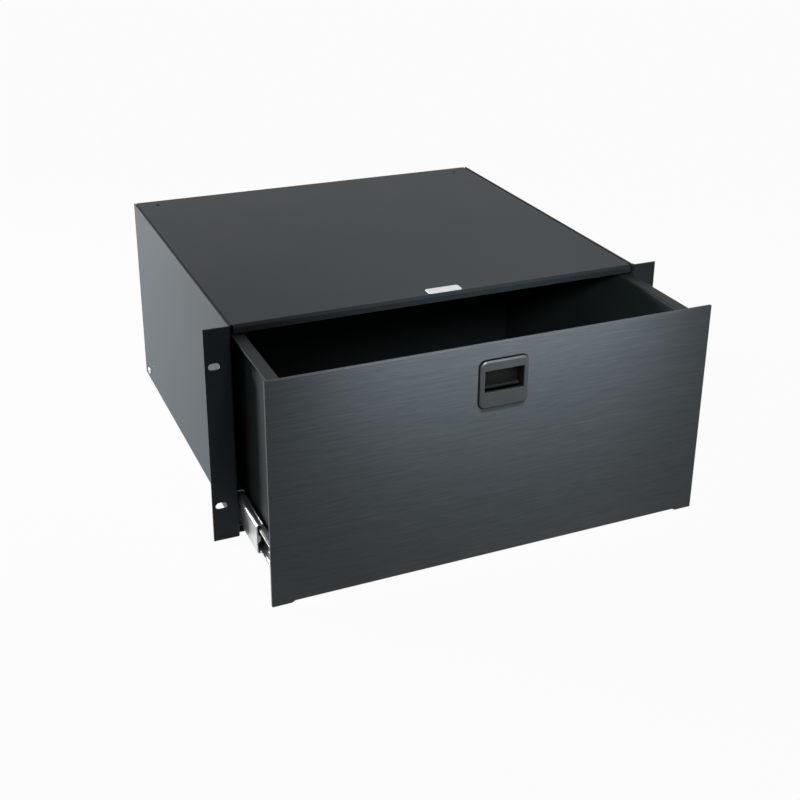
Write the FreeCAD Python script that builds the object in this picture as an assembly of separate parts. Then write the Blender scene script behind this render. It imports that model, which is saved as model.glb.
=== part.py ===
import FreeCAD, Part
import math
import os

# Sliding rack drawer: a five-unit case with rack ears, and a drawer on ball-bearing slides.
#
# Axes: +X to the right, +Y to the rear, +Z up. The origin is the centre of the ear slots on the
# front plane of the rack ears. Heights below are measured from the bottom edge of the ears, and
# every piece is modelled with the drawer pushed in: save() brings it to its stored place.
# A slide's section uses u, from the case wall towards the drawer, and w, up from its centre line.

Vector = FreeCAD.Vector

# ---- rack panel standard -------------------------------------------------------------------
EAR_SPAN = 482.6            # across both ears
PANEL_HEIGHT = 221.5        # five rack units less the joint between panels
EAR_WIDTH = 24.5            # how far an ear stands out from the case's side
SLOT_FROM_EDGE = 8.75       # slot centre to the ear's outer edge
SLOT_INSET = 37.7           # slot centre to the nearer end of the ear
SLOT_LENGTH = 11.0
SLOT_WIDTH = 7.0

# ---- case ----------------------------------------------------------------------------------
CASE_FOOT = 1.7             # underside of the case above the ears' bottom edge
CROWN_DROP = 0.7            # top face of the case below the ears' top edge
CASE_REAR_ROOM = 32.4       # from the rear end of the slides to the back of the case
CASE_SHEET = 1.5
COVER_SHEET = 1.2
BEND = 1.0                  # inside radius of every sheet-metal bend
EAR_RELIEF = 4.0            # the ear's full height ends this far behind its front plane
SIDE_FLANGE = 26.0          # bottom flange of a side, in from the outer face
COVER_SETBACK = 2.0         # front edge of the top cover behind the ears' front plane
COVER_LIP = 7.8             # height of the cover's down-turned edges
COVER_HOLE_FROM_SIDE = 24.8
COVER_HOLE_FROM_REAR = 16.0
COVER_HOLE_RADIUS = 2.25
BACK_SIDE_FLANGE = 30.0     # forward flanges of the back panel
BACK_EDGE_FLANGE = 12.0
BACK_CORNER = 6.0           # relief at the back panel's corners
BACK_LIP_GAP = 2.8          # side flange of the back panel below the cover's turned edge
BRACE_START = 5.0
BRACE_WIDTH = 60.0
BRACE_CORNER = 4.0

# ---- badge, screws and nuts ----------------------------------------------------------------
BADGE_WIDTH = 36.0
BADGE_DEPTH = 13.0
BADGE_THICKNESS = 0.6
BADGE_X = 3.0
BADGE_CORNER = 3.0
BADGE_FROM_EDGE = 3.0       # behind the cover's front edge
SCREW_RADIUS = 2.0
SCREW_HEAD_RADIUS = 4.0
SCREW_HEAD_HEIGHT = 2.2
SCREW_CLEARANCE = 0.15
NUT_ACROSS_FLATS = 7.0
NUT_HEIGHT = 2.8
NUT_CLEARANCE = 0.05
THREAD_END = 1.0            # thread standing past a nut
REAR_SCREW_FROM_REAR = 24.2
REAR_SCREW_HEIGHT = 15.2

# ---- drawer --------------------------------------------------------------------------------
DRAWER_SHEET = 1.2
DRAWER_REAR_STEP = 1.6      # rear of the drawer ahead of the slides' rear ends
DRAWER_FOOT_GAP = 1.0       # underside of the drawer above the brace
DRAWER_TOP_GAP = 2.0        # top of the drawer below the cover's lip
DRAWER_TOP_FLANGE = 11.4    # out from the side's outer face
DRAWER_FLOOR_FLANGE = 12.0
END_WALL_DROP = 1.2         # end walls stand this much lower than the sides
END_RIM = 10.0
RIM_NOTCH_ROOM = 4.0        # notch in the front rim, on each side of the bolt's head
FACE_OVERHANG = 5.7         # each end of the face past the case's side
FACE_THICKNESS = 3.2
FACE_TAB = 18.3             # full-height stretch at each end of the face
FACE_TAB_SLOPE = 3.5
FACE_UNDERCUT = 1.8
FACE_EDGE = 0.4             # broken edge round the face's front
STUD_INSET = 20.0           # stud centres inside the front wall's edges

# ---- ball-bearing slides -------------------------------------------------------------------
SLIDE_SPACE = 12.7          # between the case's wall and the drawer's side
SLIDE_HEIGHT = 40.0
SLIDE_LENGTH = 355.6
SLIDE_SETBACK = 12.0        # front end behind the ears' front plane
SLIDE_SEAT_GAP = 0.2        # above the side's bottom flange
SLIDE_SHEET = 1.2
SLIDE_BEND = 0.8            # inside radius of a slide's corner bends
BALL_RADIUS = 1.6
BALL_CLEARANCE = 0.1
OUTER_BALL_U = 7.2
INNER_BALL_U = 5.3
OUTER_CURL_END = 25.0       # degrees above level, where the outer curl stops
MID_LIP_END = 35.0          # degrees below level, where the middle lip stops
INNER_HOOK_START = 100.0    # degrees below level, where the inner groove starts
INNER_HOOK_END = 58.0       # degrees below level, where the inner groove turns over
HOOK_CREST = 1.8            # radius of the turn beside the inner groove
CAGE_BALLS = 4              # in each row
CAGE_PITCH = 37.3
CAGE_MARGIN = 15.0          # from the last ball to the end of its cage
BALL_RINGS = (-58.0, 0.0, 58.0)  # latitudes of a ball's corners
BALL_SIDES = 8
OUTER_CAGE_SHEET = 0.6
INNER_CAGE_SHEET = 0.5
OUTER_CAGE_U = 1.8
INNER_CAGE_U = 4.15
OUTER_CAGE_REACH = 9.4
INNER_CAGE_REACH = 7.6
OUTER_CAGE_BEND = 1.2
INNER_CAGE_RISE = 0.55      # top of the inner cage above its balls' centres
BUMPER_LENGTH = 8.0
BUMPER_HALF_HEIGHT = 5.0
BUMPER_THICKNESS = 2.8
SLIDE_SCREW_INSET = 30.0    # from each end of the drawer member

# ---- latch ---------------------------------------------------------------------------------
BEZEL_WIDTH = 48.4
BEZEL_HEIGHT = 46.5
BEZEL_DROP = 4.8            # top of the bezel below the top of the front wall
BEZEL_PROUD = 2.8
BEZEL_CORNER = 6.0
BEZEL_EDGE = 1.3
BEZEL_GROOVE = 1.0          # depth and width of the shadow groove behind the bezel's edge
HOUSING_INSET = 2.4         # body's outline inside the bezel's
HOUSING_WALL = 1.6
HOUSING_FIT = 0.25          # cut-outs around the body
RECESS_SIDE = 4.2           # finger recess inside the bezel's ends
RECESS_DROP = 9.0           # top of the recess below the bezel's top
RECESS_HEIGHT = 22.0
RECESS_CORNER = 0.8
POCKET_ABOVE = 1.5          # pocket behind the bezel, past the recess
POCKET_BELOW = 7.0
BARB_DEPTH = 3.0
BARB_HEIGHT = 10.0
BARB_PROUD = 1.0
PIVOT_Y = 7.0
PIVOT_DROP = 12.0           # pivot below the bezel's top
PIVOT_PIN_RADIUS = 1.25
PIVOT_CLEARANCE = 0.05
PADDLE_BARREL = 3.0
PADDLE_SHEET = 2.0
PADDLE_SIDE_GAP = 1.0
PADDLE_KNEE = (-0.4, -17.0) # from the pivot: to the rear, and up
PADDLE_LIP = (-5.0, -17.8)
PADDLE_BEND = 1.8
ARM_LENGTH = 9.0
ARM_DROOP = 6.75            # degrees below level at rest
ARM_SHEET = 1.8
ARM_SIDE_GAP = 0.2          # arm inside the bolt's sides
ARM_KNOB = 1.5
BOLT_WIDTH = 8.0
BOLT_FRONT = 6.6            # front of the shank behind the pivot
BOLT_NOTCH_DEPTH = 4.1
BOLT_BACK = 1.7             # left behind the notch
BOLT_NOTCH_PLAY = 0.15
BOLT_TOE_DROP = 5.0         # lower end of the bolt below the pivot
BOLT_GUIDE = 0.1
BOLT_REAR_ROOM = 1.0        # between the bolt and the rear wall of the body
BOLT_HEAD_WIDTH = 14.0
BOLT_HEAD_FLAT = 4.4        # flat top of the bolt's head, front to rear
BOLT_HEAD_LIFT = 1.3        # underside of the head above the body
BOLT_HEAD_HEEL = 2.1        # height of the head's rear edge
LIP_GAP = 0.4               # bolt behind the cover's lip, and under it as the drawer passes
SPRING_RADIUS = 1.9
SPRING_WIRE = 0.35
SPRING_WIRE_SIDES = 5
SPRING_TURNS = 6
SPRING_STEPS = 8            # facets in each turn
SPRING_SEAT_GAP = 0.05

# ---- motion --------------------------------------------------------------------------------
REST_OPENING = 120.6        # how far the stored drawer stands open
MIDDLE_SHARE = 0.5          # share of the drawer's travel that each carried piece makes
OUTER_CAGE_SHARE = 0.25
INNER_CAGE_SHARE = 0.75

# ---- worked out from the sizes above -------------------------------------------------------
SLOT_SPAN = EAR_SPAN - 2 * SLOT_FROM_EDGE
CASE_WIDTH = EAR_SPAN - 2 * EAR_WIDTH
CASE_INNER = CASE_WIDTH / 2 - CASE_SHEET
CASE_CROWN = PANEL_HEIGHT - CROWN_DROP
CASE_DEPTH = SLIDE_SETBACK + SLIDE_LENGTH + CASE_REAR_ROOM
LIP_BOTTOM = CASE_CROWN - COVER_LIP
FLANGE_TOP = CASE_FOOT + CASE_SHEET
DRAWER_OUTER = CASE_INNER - SLIDE_SPACE
DRAWER_INNER = DRAWER_OUTER - DRAWER_SHEET
DRAWER_DEPTH = SLIDE_SETBACK + SLIDE_LENGTH - DRAWER_REAR_STEP
DRAWER_FOOT = FLANGE_TOP + COVER_SHEET + DRAWER_FOOT_GAP
DRAWER_TOP = LIP_BOTTOM - DRAWER_TOP_GAP
FLOOR_TOP = DRAWER_FOOT + 2 * DRAWER_SHEET
END_WALL_TOP = DRAWER_TOP - END_WALL_DROP
FACE_WIDTH = CASE_WIDTH + 2 * FACE_OVERHANG
SLIDE_CENTRE = FLANGE_TOP + SLIDE_SEAT_GAP + SLIDE_HEIGHT / 2
SLIDE_SCREW_STATIONS = (SLIDE_SCREW_INSET, SLIDE_LENGTH - SLIDE_SCREW_INSET)
CAGE_LENGTH = (CAGE_BALLS - 1) * CAGE_PITCH + 2 * CAGE_MARGIN
TRACK = BALL_RADIUS + BALL_CLEARANCE
TRACK_MIDDLE = TRACK + SLIDE_SHEET / 2
OUTER_BALL_W = SLIDE_HEIGHT / 2 - SLIDE_SHEET - TRACK
BALL_ANGLE = math.degrees(math.acos((OUTER_BALL_U - INNER_BALL_U) / (2 * TRACK_MIDDLE)))
INNER_BALL_W = OUTER_BALL_W - 2 * TRACK_MIDDLE * math.sin(math.radians(BALL_ANGLE))
BEZEL_TOP = END_WALL_TOP - BEZEL_DROP
BEZEL_BOTTOM = BEZEL_TOP - BEZEL_HEIGHT
BEZEL_FRONT = -FACE_THICKNESS - BEZEL_PROUD
HOUSING_HALF = BEZEL_WIDTH / 2 - HOUSING_INSET
HOUSING_TOP = BEZEL_TOP - HOUSING_INSET
HOUSING_BOTTOM = BEZEL_BOTTOM + HOUSING_INSET
RECESS_TOP = BEZEL_TOP - RECESS_DROP
RECESS_BOTTOM = RECESS_TOP - RECESS_HEIGHT
RECESS_HALF = BEZEL_WIDTH / 2 - RECESS_SIDE
POCKET_TOP = RECESS_TOP + POCKET_ABOVE
POCKET_BOTTOM = RECESS_BOTTOM - POCKET_BELOW
POCKET_FRONT = HOUSING_WALL - FACE_THICKNESS
PIVOT_HEIGHT = BEZEL_TOP - PIVOT_DROP
ARM_END_Y = PIVOT_Y + ARM_LENGTH * math.cos(math.radians(ARM_DROOP))
ARM_END_HEIGHT = PIVOT_HEIGHT - ARM_LENGTH * math.sin(math.radians(ARM_DROOP))
SHANK_FRONT = PIVOT_Y + BOLT_FRONT
SHANK_REAR = SHANK_FRONT + BOLT_NOTCH_DEPTH + BOLT_BACK
HOUSING_REAR = SHANK_REAR + BOLT_REAR_ROOM + HOUSING_WALL
BOLT_TOE = PIVOT_HEIGHT - BOLT_TOE_DROP
HEAD_FRONT = COVER_SETBACK + COVER_SHEET + LIP_GAP
HEAD_BOTTOM = HOUSING_TOP + BOLT_HEAD_LIFT
HEAD_TOP = LIP_BOTTOM - LIP_GAP

JOIN = 1e-6                 # points closer than this are one point
OVERCUT = 1.0               # how far a cutting shape reaches past what it cuts
AXES = {"X": Vector(1, 0, 0), "Y": Vector(0, 1, 0), "Z": Vector(0, 0, 1)}
# How a flat drawing turns so that its two axes become Y-Z, X-Z or X-Y.
SECTION_TURNS = {
    "X": FreeCAD.Rotation(Vector(1, 1, 1), 120),
    "Y": FreeCAD.Rotation(Vector(1, 0, 0), 90),
    "Z": FreeCAD.Rotation(),
}


# ---- drawing tools -------------------------------------------------------------------------
class Run:
    """A straight stretch of a sheet's middle line."""

    def __init__(self, start, end):
        self.start = Vector(*start)
        self.end = Vector(*end)

    def points(self, shift):
        """First, middle and last point of the line moved to its left by shift."""
        along = (self.end - self.start).normalize()
        move = Vector(-along.y, along.x) * shift
        return [self.start + move, (self.start + self.end) * 0.5 + move, self.end + move]

    def edge(self, shift):
        first, _, last = self.points(shift)
        return Part.LineSegment(first, last).toShape()


class Turn:
    """A round stretch of a sheet's middle line, about a centre, between two angles in degrees."""

    def __init__(self, centre, radius, start, end):
        self.centre = Vector(*centre)
        self.radius = radius
        self.angles = (start, (start + end) / 2, end)

    def points(self, shift):
        """First, middle and last point of the arc moved to its left by shift."""
        anticlockwise = self.angles[2] > self.angles[0]
        radius = self.radius - shift if anticlockwise else self.radius + shift
        return [self.centre + polar(radius, angle) for angle in self.angles]

    def edge(self, shift):
        return Part.Arc(*self.points(shift)).toShape()


def polar(radius, angle):
    """The point at a radius and an angle in degrees."""
    return Vector(radius * math.cos(math.radians(angle)), radius * math.sin(math.radians(angle)))


def bent_path(points, radius):
    """Straight runs through the points, joined by tangent arcs of the given middle radius."""
    corners = [Vector(*p) for p in points]
    path = []
    start = corners[0]
    for before, corner, after in zip(corners, corners[1:], corners[2:]):
        into = (corner - before).normalize()
        out = (after - corner).normalize()
        turn = math.degrees(math.atan2(into.x * out.y - into.y * out.x, into.dot(out)))
        side = math.copysign(1.0, turn)
        reach = radius * math.tan(math.radians(abs(turn)) / 2)
        first = corner - into * reach
        centre = first + Vector(-into.y, into.x) * (side * radius)
        heading = math.degrees(math.atan2(into.y, into.x)) - side * 90
        if start.distanceToPoint(first) > JOIN:
            path.append(Run(start, first))
        path.append(Turn(centre, radius, heading, heading + turn))
        start = corner + out * reach
    return path + [Run(start, corners[-1])]


def ribbon(path, thickness):
    """The closed outline of a sheet of a thickness that follows a middle line."""
    half = thickness / 2
    edges = [stretch.edge(side) for stretch in path for side in (half, -half)]
    for stretch, end in ((path[0], 0), (path[-1], 2)):
        edges.append(Part.LineSegment(stretch.points(half)[end], stretch.points(-half)[end]).toShape())
    return Part.Wire(Part.__sortEdges__(edges))


def folded(points, thickness, bend=BEND):
    """The outline of a folded sheet whose middle line bends at the points."""
    return ribbon(bent_path(points, bend + thickness / 2), thickness)


def rounded_rectangle(centre, size, radius):
    """A rectangle with round corners."""
    (x, y), (width, height) = centre, size
    straight_x, straight_y = width / 2 - radius, height / 2 - radius
    edges = []
    for sign_x, sign_y, angle in ((1, 1, 0), (-1, 1, 90), (-1, -1, 180), (1, -1, 270)):
        corner = (x + sign_x * straight_x, y + sign_y * straight_y)
        edges.append(Turn(corner, radius, angle, angle + 90).edge(0))
    ends = [(edge.Vertexes[0].Point, edge.Vertexes[-1].Point) for edge in edges]
    for (_, last), (first, _) in zip(ends, ends[1:] + ends[:1]):
        if last.distanceToPoint(first) > JOIN:
            edges.append(Part.LineSegment(last, first).toShape())
    return Part.Wire(Part.__sortEdges__(edges))


def extrude(outline, axis, start, end):
    """A solid from a flat outline, drawn across an axis and carried from start to end along it."""
    face = Part.Face(outline)
    face.Placement = FreeCAD.Placement(AXES[axis] * start, SECTION_TURNS[axis])
    return face.extrude(AXES[axis] * (end - start))


def block(x, y, z):
    """A box between the given pairs of limits."""
    return Part.makeBox(x[1] - x[0], y[1] - y[0], z[1] - z[0], Vector(x[0], y[0], z[0]))


def rod(radius, start, length, axis):
    return Part.makeCylinder(radius, length, Vector(*start), AXES[axis])


def flat_face(corners):
    return Part.Face(Part.makePolygon(corners + corners[:1]))


def faceted(rings, flat=True):
    """A solid with flat faces through rings of corners: the skin between them, and both ends.

    Where the four corners between two rings aren't flat, two triangles fill them.
    """
    faces = [flat_face(rings[0]), flat_face(rings[-1])]
    for ring, following in zip(rings, rings[1:]):
        corners = zip(ring, ring[1:] + ring[:1], following[1:] + following[:1], following)
        for first, second, third, fourth in corners:
            if flat:
                faces.append(flat_face([first, second, third, fourth]))
            else:
                faces.append(flat_face([first, second, third]))
                faces.append(flat_face([first, third, fourth]))
    return Part.Solid(Part.Shell(faces))


def joined(shapes):
    """One solid from shapes that meet, without the seams between their flush faces."""
    return shapes[0].multiFuse(shapes[1:]).removeSplitter()


def mirrored(shape):
    """The same piece on the left-hand side."""
    return shape.mirror(Vector(), AXES["X"])


def both_sides(shape):
    return [shape, mirrored(shape)]


# ---- case ----------------------------------------------------------------------------------
def case_side():
    """Right side: a wall with the rack ear bent out in front and a flange bent in below."""
    wall_x = CASE_WIDTH / 2 - CASE_SHEET / 2
    ear_y = CASE_SHEET / 2
    plan = folded([(wall_x, CASE_DEPTH), (wall_x, ear_y), (EAR_SPAN / 2, ear_y)], CASE_SHEET)
    side = extrude(plan, "Z", 0, PANEL_HEIGHT)
    fold_top = CASE_FOOT + CASE_SHEET + BEND + OVERCUT
    inside = (0, EAR_SPAN)
    behind = (EAR_RELIEF, CASE_DEPTH + OVERCUT)
    side = side.cut(block(inside, behind, (CASE_CROWN, PANEL_HEIGHT + OVERCUT)))
    side = side.cut(block(inside, behind, (-OVERCUT, fold_top)))
    foot_z = CASE_FOOT + CASE_SHEET / 2
    foot = folded([(wall_x, fold_top), (wall_x, foot_z), (CASE_WIDTH / 2 - SIDE_FLANGE, foot_z)],
                  CASE_SHEET)
    side = joined([side, extrude(foot, "Y", EAR_RELIEF, CASE_DEPTH)])
    for height in (SLOT_INSET, PANEL_HEIGHT - SLOT_INSET):
        slot = rounded_rectangle((SLOT_SPAN / 2, height), (SLOT_LENGTH, SLOT_WIDTH),
                                 SLOT_WIDTH / 2)
        side = side.cut(extrude(slot, "Y", -OVERCUT, CASE_SHEET + OVERCUT))
    return side.cut(rear_screw_hole())


def rear_screw_hole():
    """The clearance hole for the screw that ties the side to the back panel's flange."""
    return rod(SCREW_RADIUS + SCREW_CLEARANCE,
               (CASE_INNER - COVER_SHEET - OVERCUT, CASE_DEPTH - REAR_SCREW_FROM_REAR,
                REAR_SCREW_HEIGHT),
               COVER_SHEET + CASE_SHEET + 2 * OVERCUT, "X")


def case_top():
    """Top cover: side edges turned down inside the sides, and a rounded lip along the front."""
    level = CASE_CROWN - COVER_SHEET / 2
    edge_x = CASE_INNER - COVER_SHEET / 2
    across = folded([(edge_x, LIP_BOTTOM), (edge_x, level), (-edge_x, level),
                     (-edge_x, LIP_BOTTOM)], COVER_SHEET, 2 * BEND)
    nose = COVER_SETBACK + COVER_SHEET + 2 * BEND
    lip_y = COVER_SETBACK + COVER_SHEET / 2
    lip = folded([(nose, level), (lip_y, level), (lip_y, LIP_BOTTOM)], COVER_SHEET, 2 * BEND)
    lip_half = CASE_INNER - COVER_SHEET - 2 * BEND
    cover = joined([extrude(across, "Y", nose, CASE_DEPTH), extrude(lip, "X", -lip_half, lip_half)])
    hole = rod(COVER_HOLE_RADIUS, (CASE_WIDTH / 2 - COVER_HOLE_FROM_SIDE,
                                   CASE_DEPTH - COVER_HOLE_FROM_REAR, LIP_BOTTOM),
               COVER_LIP + OVERCUT, "Z")
    return cover.cut(hole).cut(mirrored(hole))


def case_back():
    """Back panel: a shallow tray with its four edges turned forward."""
    plate_y = CASE_DEPTH - COVER_SHEET / 2
    top_z = CASE_CROWN - COVER_SHEET * 1.5
    foot_z = FLANGE_TOP + COVER_SHEET / 2
    edge_x = CASE_INNER - COVER_SHEET / 2
    step_x = CASE_INNER - BACK_CORNER
    edge_y = CASE_DEPTH - BACK_EDGE_FLANGE
    upright = folded([(edge_y, top_z), (plate_y, top_z), (plate_y, foot_z), (edge_y, foot_z)],
                     COVER_SHEET)
    side = folded([(step_x, plate_y), (edge_x, plate_y), (edge_x, CASE_DEPTH - BACK_SIDE_FLANGE)],
                  COVER_SHEET)
    flange = extrude(side, "Z", foot_z + BACK_CORNER, LIP_BOTTOM - BACK_LIP_GAP)
    back = joined([extrude(upright, "X", -step_x, step_x)] + both_sides(flange))
    hole = rear_screw_hole()
    return back.cut(hole).cut(mirrored(hole))


def case_brace():
    """Flat strap under the drawer that ties the two bottom flanges together at the front."""
    brace = block((-DRAWER_OUTER, DRAWER_OUTER), (BRACE_START, BRACE_START + BRACE_WIDTH),
                  (FLANGE_TOP, FLANGE_TOP + COVER_SHEET))
    upright = [edge for edge in brace.Edges if abs(edge.Length - COVER_SHEET) < JOIN]
    return brace.makeChamfer(BRACE_CORNER, upright)


def badge_plate():
    """Blank plate behind the front edge of the top cover."""
    middle = (BADGE_X, COVER_SETBACK + BADGE_FROM_EDGE + BADGE_DEPTH / 2)
    outline = rounded_rectangle(middle, (BADGE_WIDTH, BADGE_DEPTH), BADGE_CORNER)
    return extrude(outline, "Z", CASE_CROWN, CASE_CROWN + BADGE_THICKNESS)


def pan_screw(grip):
    """Pan screw along +X: its head's underside at the origin, its shank through the grip."""
    head = rod(SCREW_HEAD_RADIUS, (-SCREW_HEAD_HEIGHT, 0, 0), SCREW_HEAD_HEIGHT, "X")
    shank = rod(SCREW_RADIUS, (0, 0, 0), grip + NUT_HEIGHT + THREAD_END, "X")
    return joined([head, shank])


def hex_nut(axis):
    """Nut with its seat on the origin's plane and its height along the axis."""
    corners = [polar(NUT_ACROSS_FLATS / math.sqrt(3), 60 * n) for n in range(7)]
    nut = extrude(Part.makePolygon(corners), axis, 0, NUT_HEIGHT)
    return nut.cut(rod(SCREW_RADIUS + NUT_CLEARANCE, (0, 0, 0), NUT_HEIGHT, axis))


def moved(shape, x, y, z):
    copy = shape.copy()
    copy.translate(Vector(x, y, z))
    return copy


def rear_fastening():
    """The right-hand rear screw, and the nut inside the case that holds it."""
    y = CASE_DEPTH - REAR_SCREW_FROM_REAR
    screw = pan_screw(CASE_SHEET + COVER_SHEET)
    screw.rotate(Vector(), AXES["Z"], 180)
    screw = moved(screw, CASE_WIDTH / 2, y, REAR_SCREW_HEIGHT)
    nut = moved(hex_nut("X"), CASE_INNER - COVER_SHEET - NUT_HEIGHT, y, REAR_SCREW_HEIGHT)
    return screw, nut


# ---- slides --------------------------------------------------------------------------------
def slide_part(outline, start, length):
    """A right-hand slide piece from its section in u and w."""
    solid = extrude(outline, "Y", start, start + length)
    solid = mirrored(solid)
    solid.translate(Vector(CASE_INNER, 0, SLIDE_CENTRE))
    return solid


def balanced(upper):
    """A section's whole path from its upper half, which ends on the web."""
    lower = []
    for stretch in reversed(upper):
        if isinstance(stretch, Turn):
            start, _, end = stretch.angles
            centre = (stretch.centre.x, -stretch.centre.y)
            lower.append(Turn(centre, stretch.radius, -end, -start))
        else:
            lower.append(Run((stretch.end.x, -stretch.end.y), (stretch.start.x, -stretch.start.y)))
    web = Run(upper[-1].points(0)[2], lower[0].points(0)[0])
    return upper + [web] + lower


def outer_section():
    """Case member: a channel whose edges curl over the outer balls."""
    corner = SLIDE_BEND + SLIDE_SHEET / 2
    top = SLIDE_HEIGHT / 2 - SLIDE_SHEET / 2
    web_u = SLIDE_SHEET / 2
    return balanced([
        Turn((OUTER_BALL_U, OUTER_BALL_W), TRACK_MIDDLE, OUTER_CURL_END, 90),
        Run((OUTER_BALL_U, top), (web_u + corner, top)),
        Turn((web_u + corner, top - corner), corner, 90, 180),
    ])


def middle_section():
    """Middle member: grooved inside for the inner balls and outside for the outer balls."""
    return balanced([
        Turn((OUTER_BALL_U, OUTER_BALL_W), TRACK_MIDDLE, -MID_LIP_END, BALL_ANGLE - 180),
        Turn((INNER_BALL_U, INNER_BALL_W), TRACK_MIDDLE, BALL_ANGLE, 180),
    ])


def inner_section():
    """Drawer member: a channel whose edges dip into a groove under the inner balls."""
    crest = polar(TRACK_MIDDLE + HOOK_CREST, -INNER_HOOK_END)
    crest += Vector(INNER_BALL_U, INNER_BALL_W)
    level = crest.y + HOOK_CREST
    corner = SLIDE_BEND + SLIDE_SHEET / 2
    bend_u = SLIDE_SPACE - SLIDE_SHEET / 2 - corner
    return balanced([
        Turn((INNER_BALL_U, INNER_BALL_W), TRACK_MIDDLE, -INNER_HOOK_START, -INNER_HOOK_END),
        Turn((crest.x, crest.y), HOOK_CREST, 180 - INNER_HOOK_END, 90),
        Run((crest.x, level), (bend_u, level)),
        Turn((bend_u, level - corner), corner, 90, 0),
    ])


def inner_member():
    """Drawer member with the holes for its screws."""
    member = slide_part(ribbon(inner_section(), SLIDE_SHEET), SLIDE_SETBACK, SLIDE_LENGTH)
    for station in SLIDE_SCREW_STATIONS:
        member = member.cut(slide_screw_hole(station))
    return member


def slide_screw_hole(station):
    """The clearance hole through the drawer member and the drawer's side."""
    return rod(SCREW_RADIUS + SCREW_CLEARANCE,
               (DRAWER_INNER - OVERCUT, SLIDE_SETBACK + station, SLIDE_CENTRE),
               DRAWER_SHEET + SLIDE_SHEET + 2 * OVERCUT, "X")


def slide_fastenings():
    """Screws through the right-hand drawer member, and their nuts inside the drawer."""
    screw = pan_screw(SLIDE_SHEET + DRAWER_SHEET)
    screw.rotate(Vector(), AXES["Z"], 180)
    seat = DRAWER_OUTER + SLIDE_SHEET
    screws = [moved(screw, seat, SLIDE_SETBACK + s, SLIDE_CENTRE) for s in SLIDE_SCREW_STATIONS]
    nuts = [moved(hex_nut("X"), DRAWER_INNER - NUT_HEIGHT, SLIDE_SETBACK + s, SLIDE_CENTRE)
            for s in SLIDE_SCREW_STATIONS]
    return screws, nuts


def ball_places(u, w):
    """Ball centres in u, y and w: an upper and a lower row along the middle of a member."""
    middle = SLIDE_SETBACK + SLIDE_LENGTH / 2
    first = middle - CAGE_PITCH * (CAGE_BALLS - 1) / 2
    return [(u, first + CAGE_PITCH * n, side * w) for side in (1, -1) for n in range(CAGE_BALLS)]


def ball():
    """A ball with flat facets between rings of corners, which keeps the many balls light."""
    rings = []
    for latitude in BALL_RINGS:
        level = polar(BALL_RADIUS, latitude)
        corners = [polar(level.x, 360 * n / BALL_SIDES) for n in range(BALL_SIDES)]
        rings.append([Vector(c.x, c.y, level.y) for c in corners])
    return faceted(rings)


def ball_cage(outline, u, w):
    """A channel strip with a square pocket for each ball, and the balls that it spaces."""
    start = SLIDE_SETBACK + (SLIDE_LENGTH - CAGE_LENGTH) / 2
    cage = slide_part(outline, start, CAGE_LENGTH)
    pockets = []
    balls = []
    for ball_u, y, ball_w in ball_places(u, w):
        x = CASE_INNER - ball_u
        z = SLIDE_CENTRE + ball_w
        pockets.append(block((x - TRACK, x + TRACK), (y - TRACK, y + TRACK), (z - TRACK, z + TRACK)))
        balls.append(moved(ball(), x, y, z))
    return cage.cut(Part.makeCompound(pockets)), balls


def outer_cage():
    corner = OUTER_CAGE_BEND + OUTER_CAGE_SHEET / 2
    bend_u = OUTER_CAGE_U + corner
    path = balanced([
        Run((OUTER_CAGE_REACH, OUTER_BALL_W), (bend_u, OUTER_BALL_W)),
        Turn((bend_u, OUTER_BALL_W - corner), corner, 90, 180),
    ])
    return ball_cage(ribbon(path, OUTER_CAGE_SHEET), OUTER_BALL_U, OUTER_BALL_W)


def inner_cage():
    """The smaller cage: its corners are square, because the pockets cut most of them away."""
    outer = INNER_BALL_W + INNER_CAGE_RISE
    inner = outer - INNER_CAGE_SHEET
    web_u = INNER_CAGE_U + INNER_CAGE_SHEET
    upper = [(INNER_CAGE_REACH, inner), (INNER_CAGE_REACH, outer), (INNER_CAGE_U, outer)]
    lower = [(INNER_CAGE_U, -outer), (INNER_CAGE_REACH, -outer), (INNER_CAGE_REACH, -inner)]
    corners = [(web_u, inner)] + upper + lower + [(web_u, -inner), (web_u, inner)]
    outline = Part.makePolygon([Vector(*corner) for corner in corners])
    return ball_cage(outline, INNER_BALL_U, INNER_BALL_W)


def middle_bumper():
    """Nylon stop pressed on the web at the front end of the middle member."""
    front = INNER_BALL_U - TRACK + BUMPER_THICKNESS
    corners = [(front - BUMPER_THICKNESS, -BUMPER_HALF_HEIGHT),
               (front, BUMPER_THICKNESS - BUMPER_HALF_HEIGHT),
               (front, BUMPER_HALF_HEIGHT - BUMPER_THICKNESS),
               (front - BUMPER_THICKNESS, BUMPER_HALF_HEIGHT),
               (front - BUMPER_THICKNESS, -BUMPER_HALF_HEIGHT)]
    outline = Part.makePolygon([Vector(*corner) for corner in corners])
    return slide_part(outline, SLIDE_SETBACK, BUMPER_LENGTH)


# ---- drawer --------------------------------------------------------------------------------
def drawer_side():
    """Right side: top edge turned out over the slide, bottom edge turned in under the floor."""
    wall_x = DRAWER_OUTER - DRAWER_SHEET / 2
    top_z = DRAWER_TOP - DRAWER_SHEET / 2
    foot_z = DRAWER_FOOT + DRAWER_SHEET / 2
    section = folded([(DRAWER_OUTER + DRAWER_TOP_FLANGE, top_z), (wall_x, top_z),
                      (wall_x, foot_z), (DRAWER_INNER - DRAWER_FLOOR_FLANGE, foot_z)], DRAWER_SHEET)
    side = extrude(section, "Y", 0, DRAWER_DEPTH)
    for station in SLIDE_SCREW_STATIONS:
        side = side.cut(slide_screw_hole(station))
    return side


def drawer_floor():
    """Floor sheet on the sides' bottom flanges, clear of their bends."""
    half = DRAWER_INNER - BEND
    return block((-half, half), (0, DRAWER_DEPTH), (FLOOR_TOP - DRAWER_SHEET, FLOOR_TOP))


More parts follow.
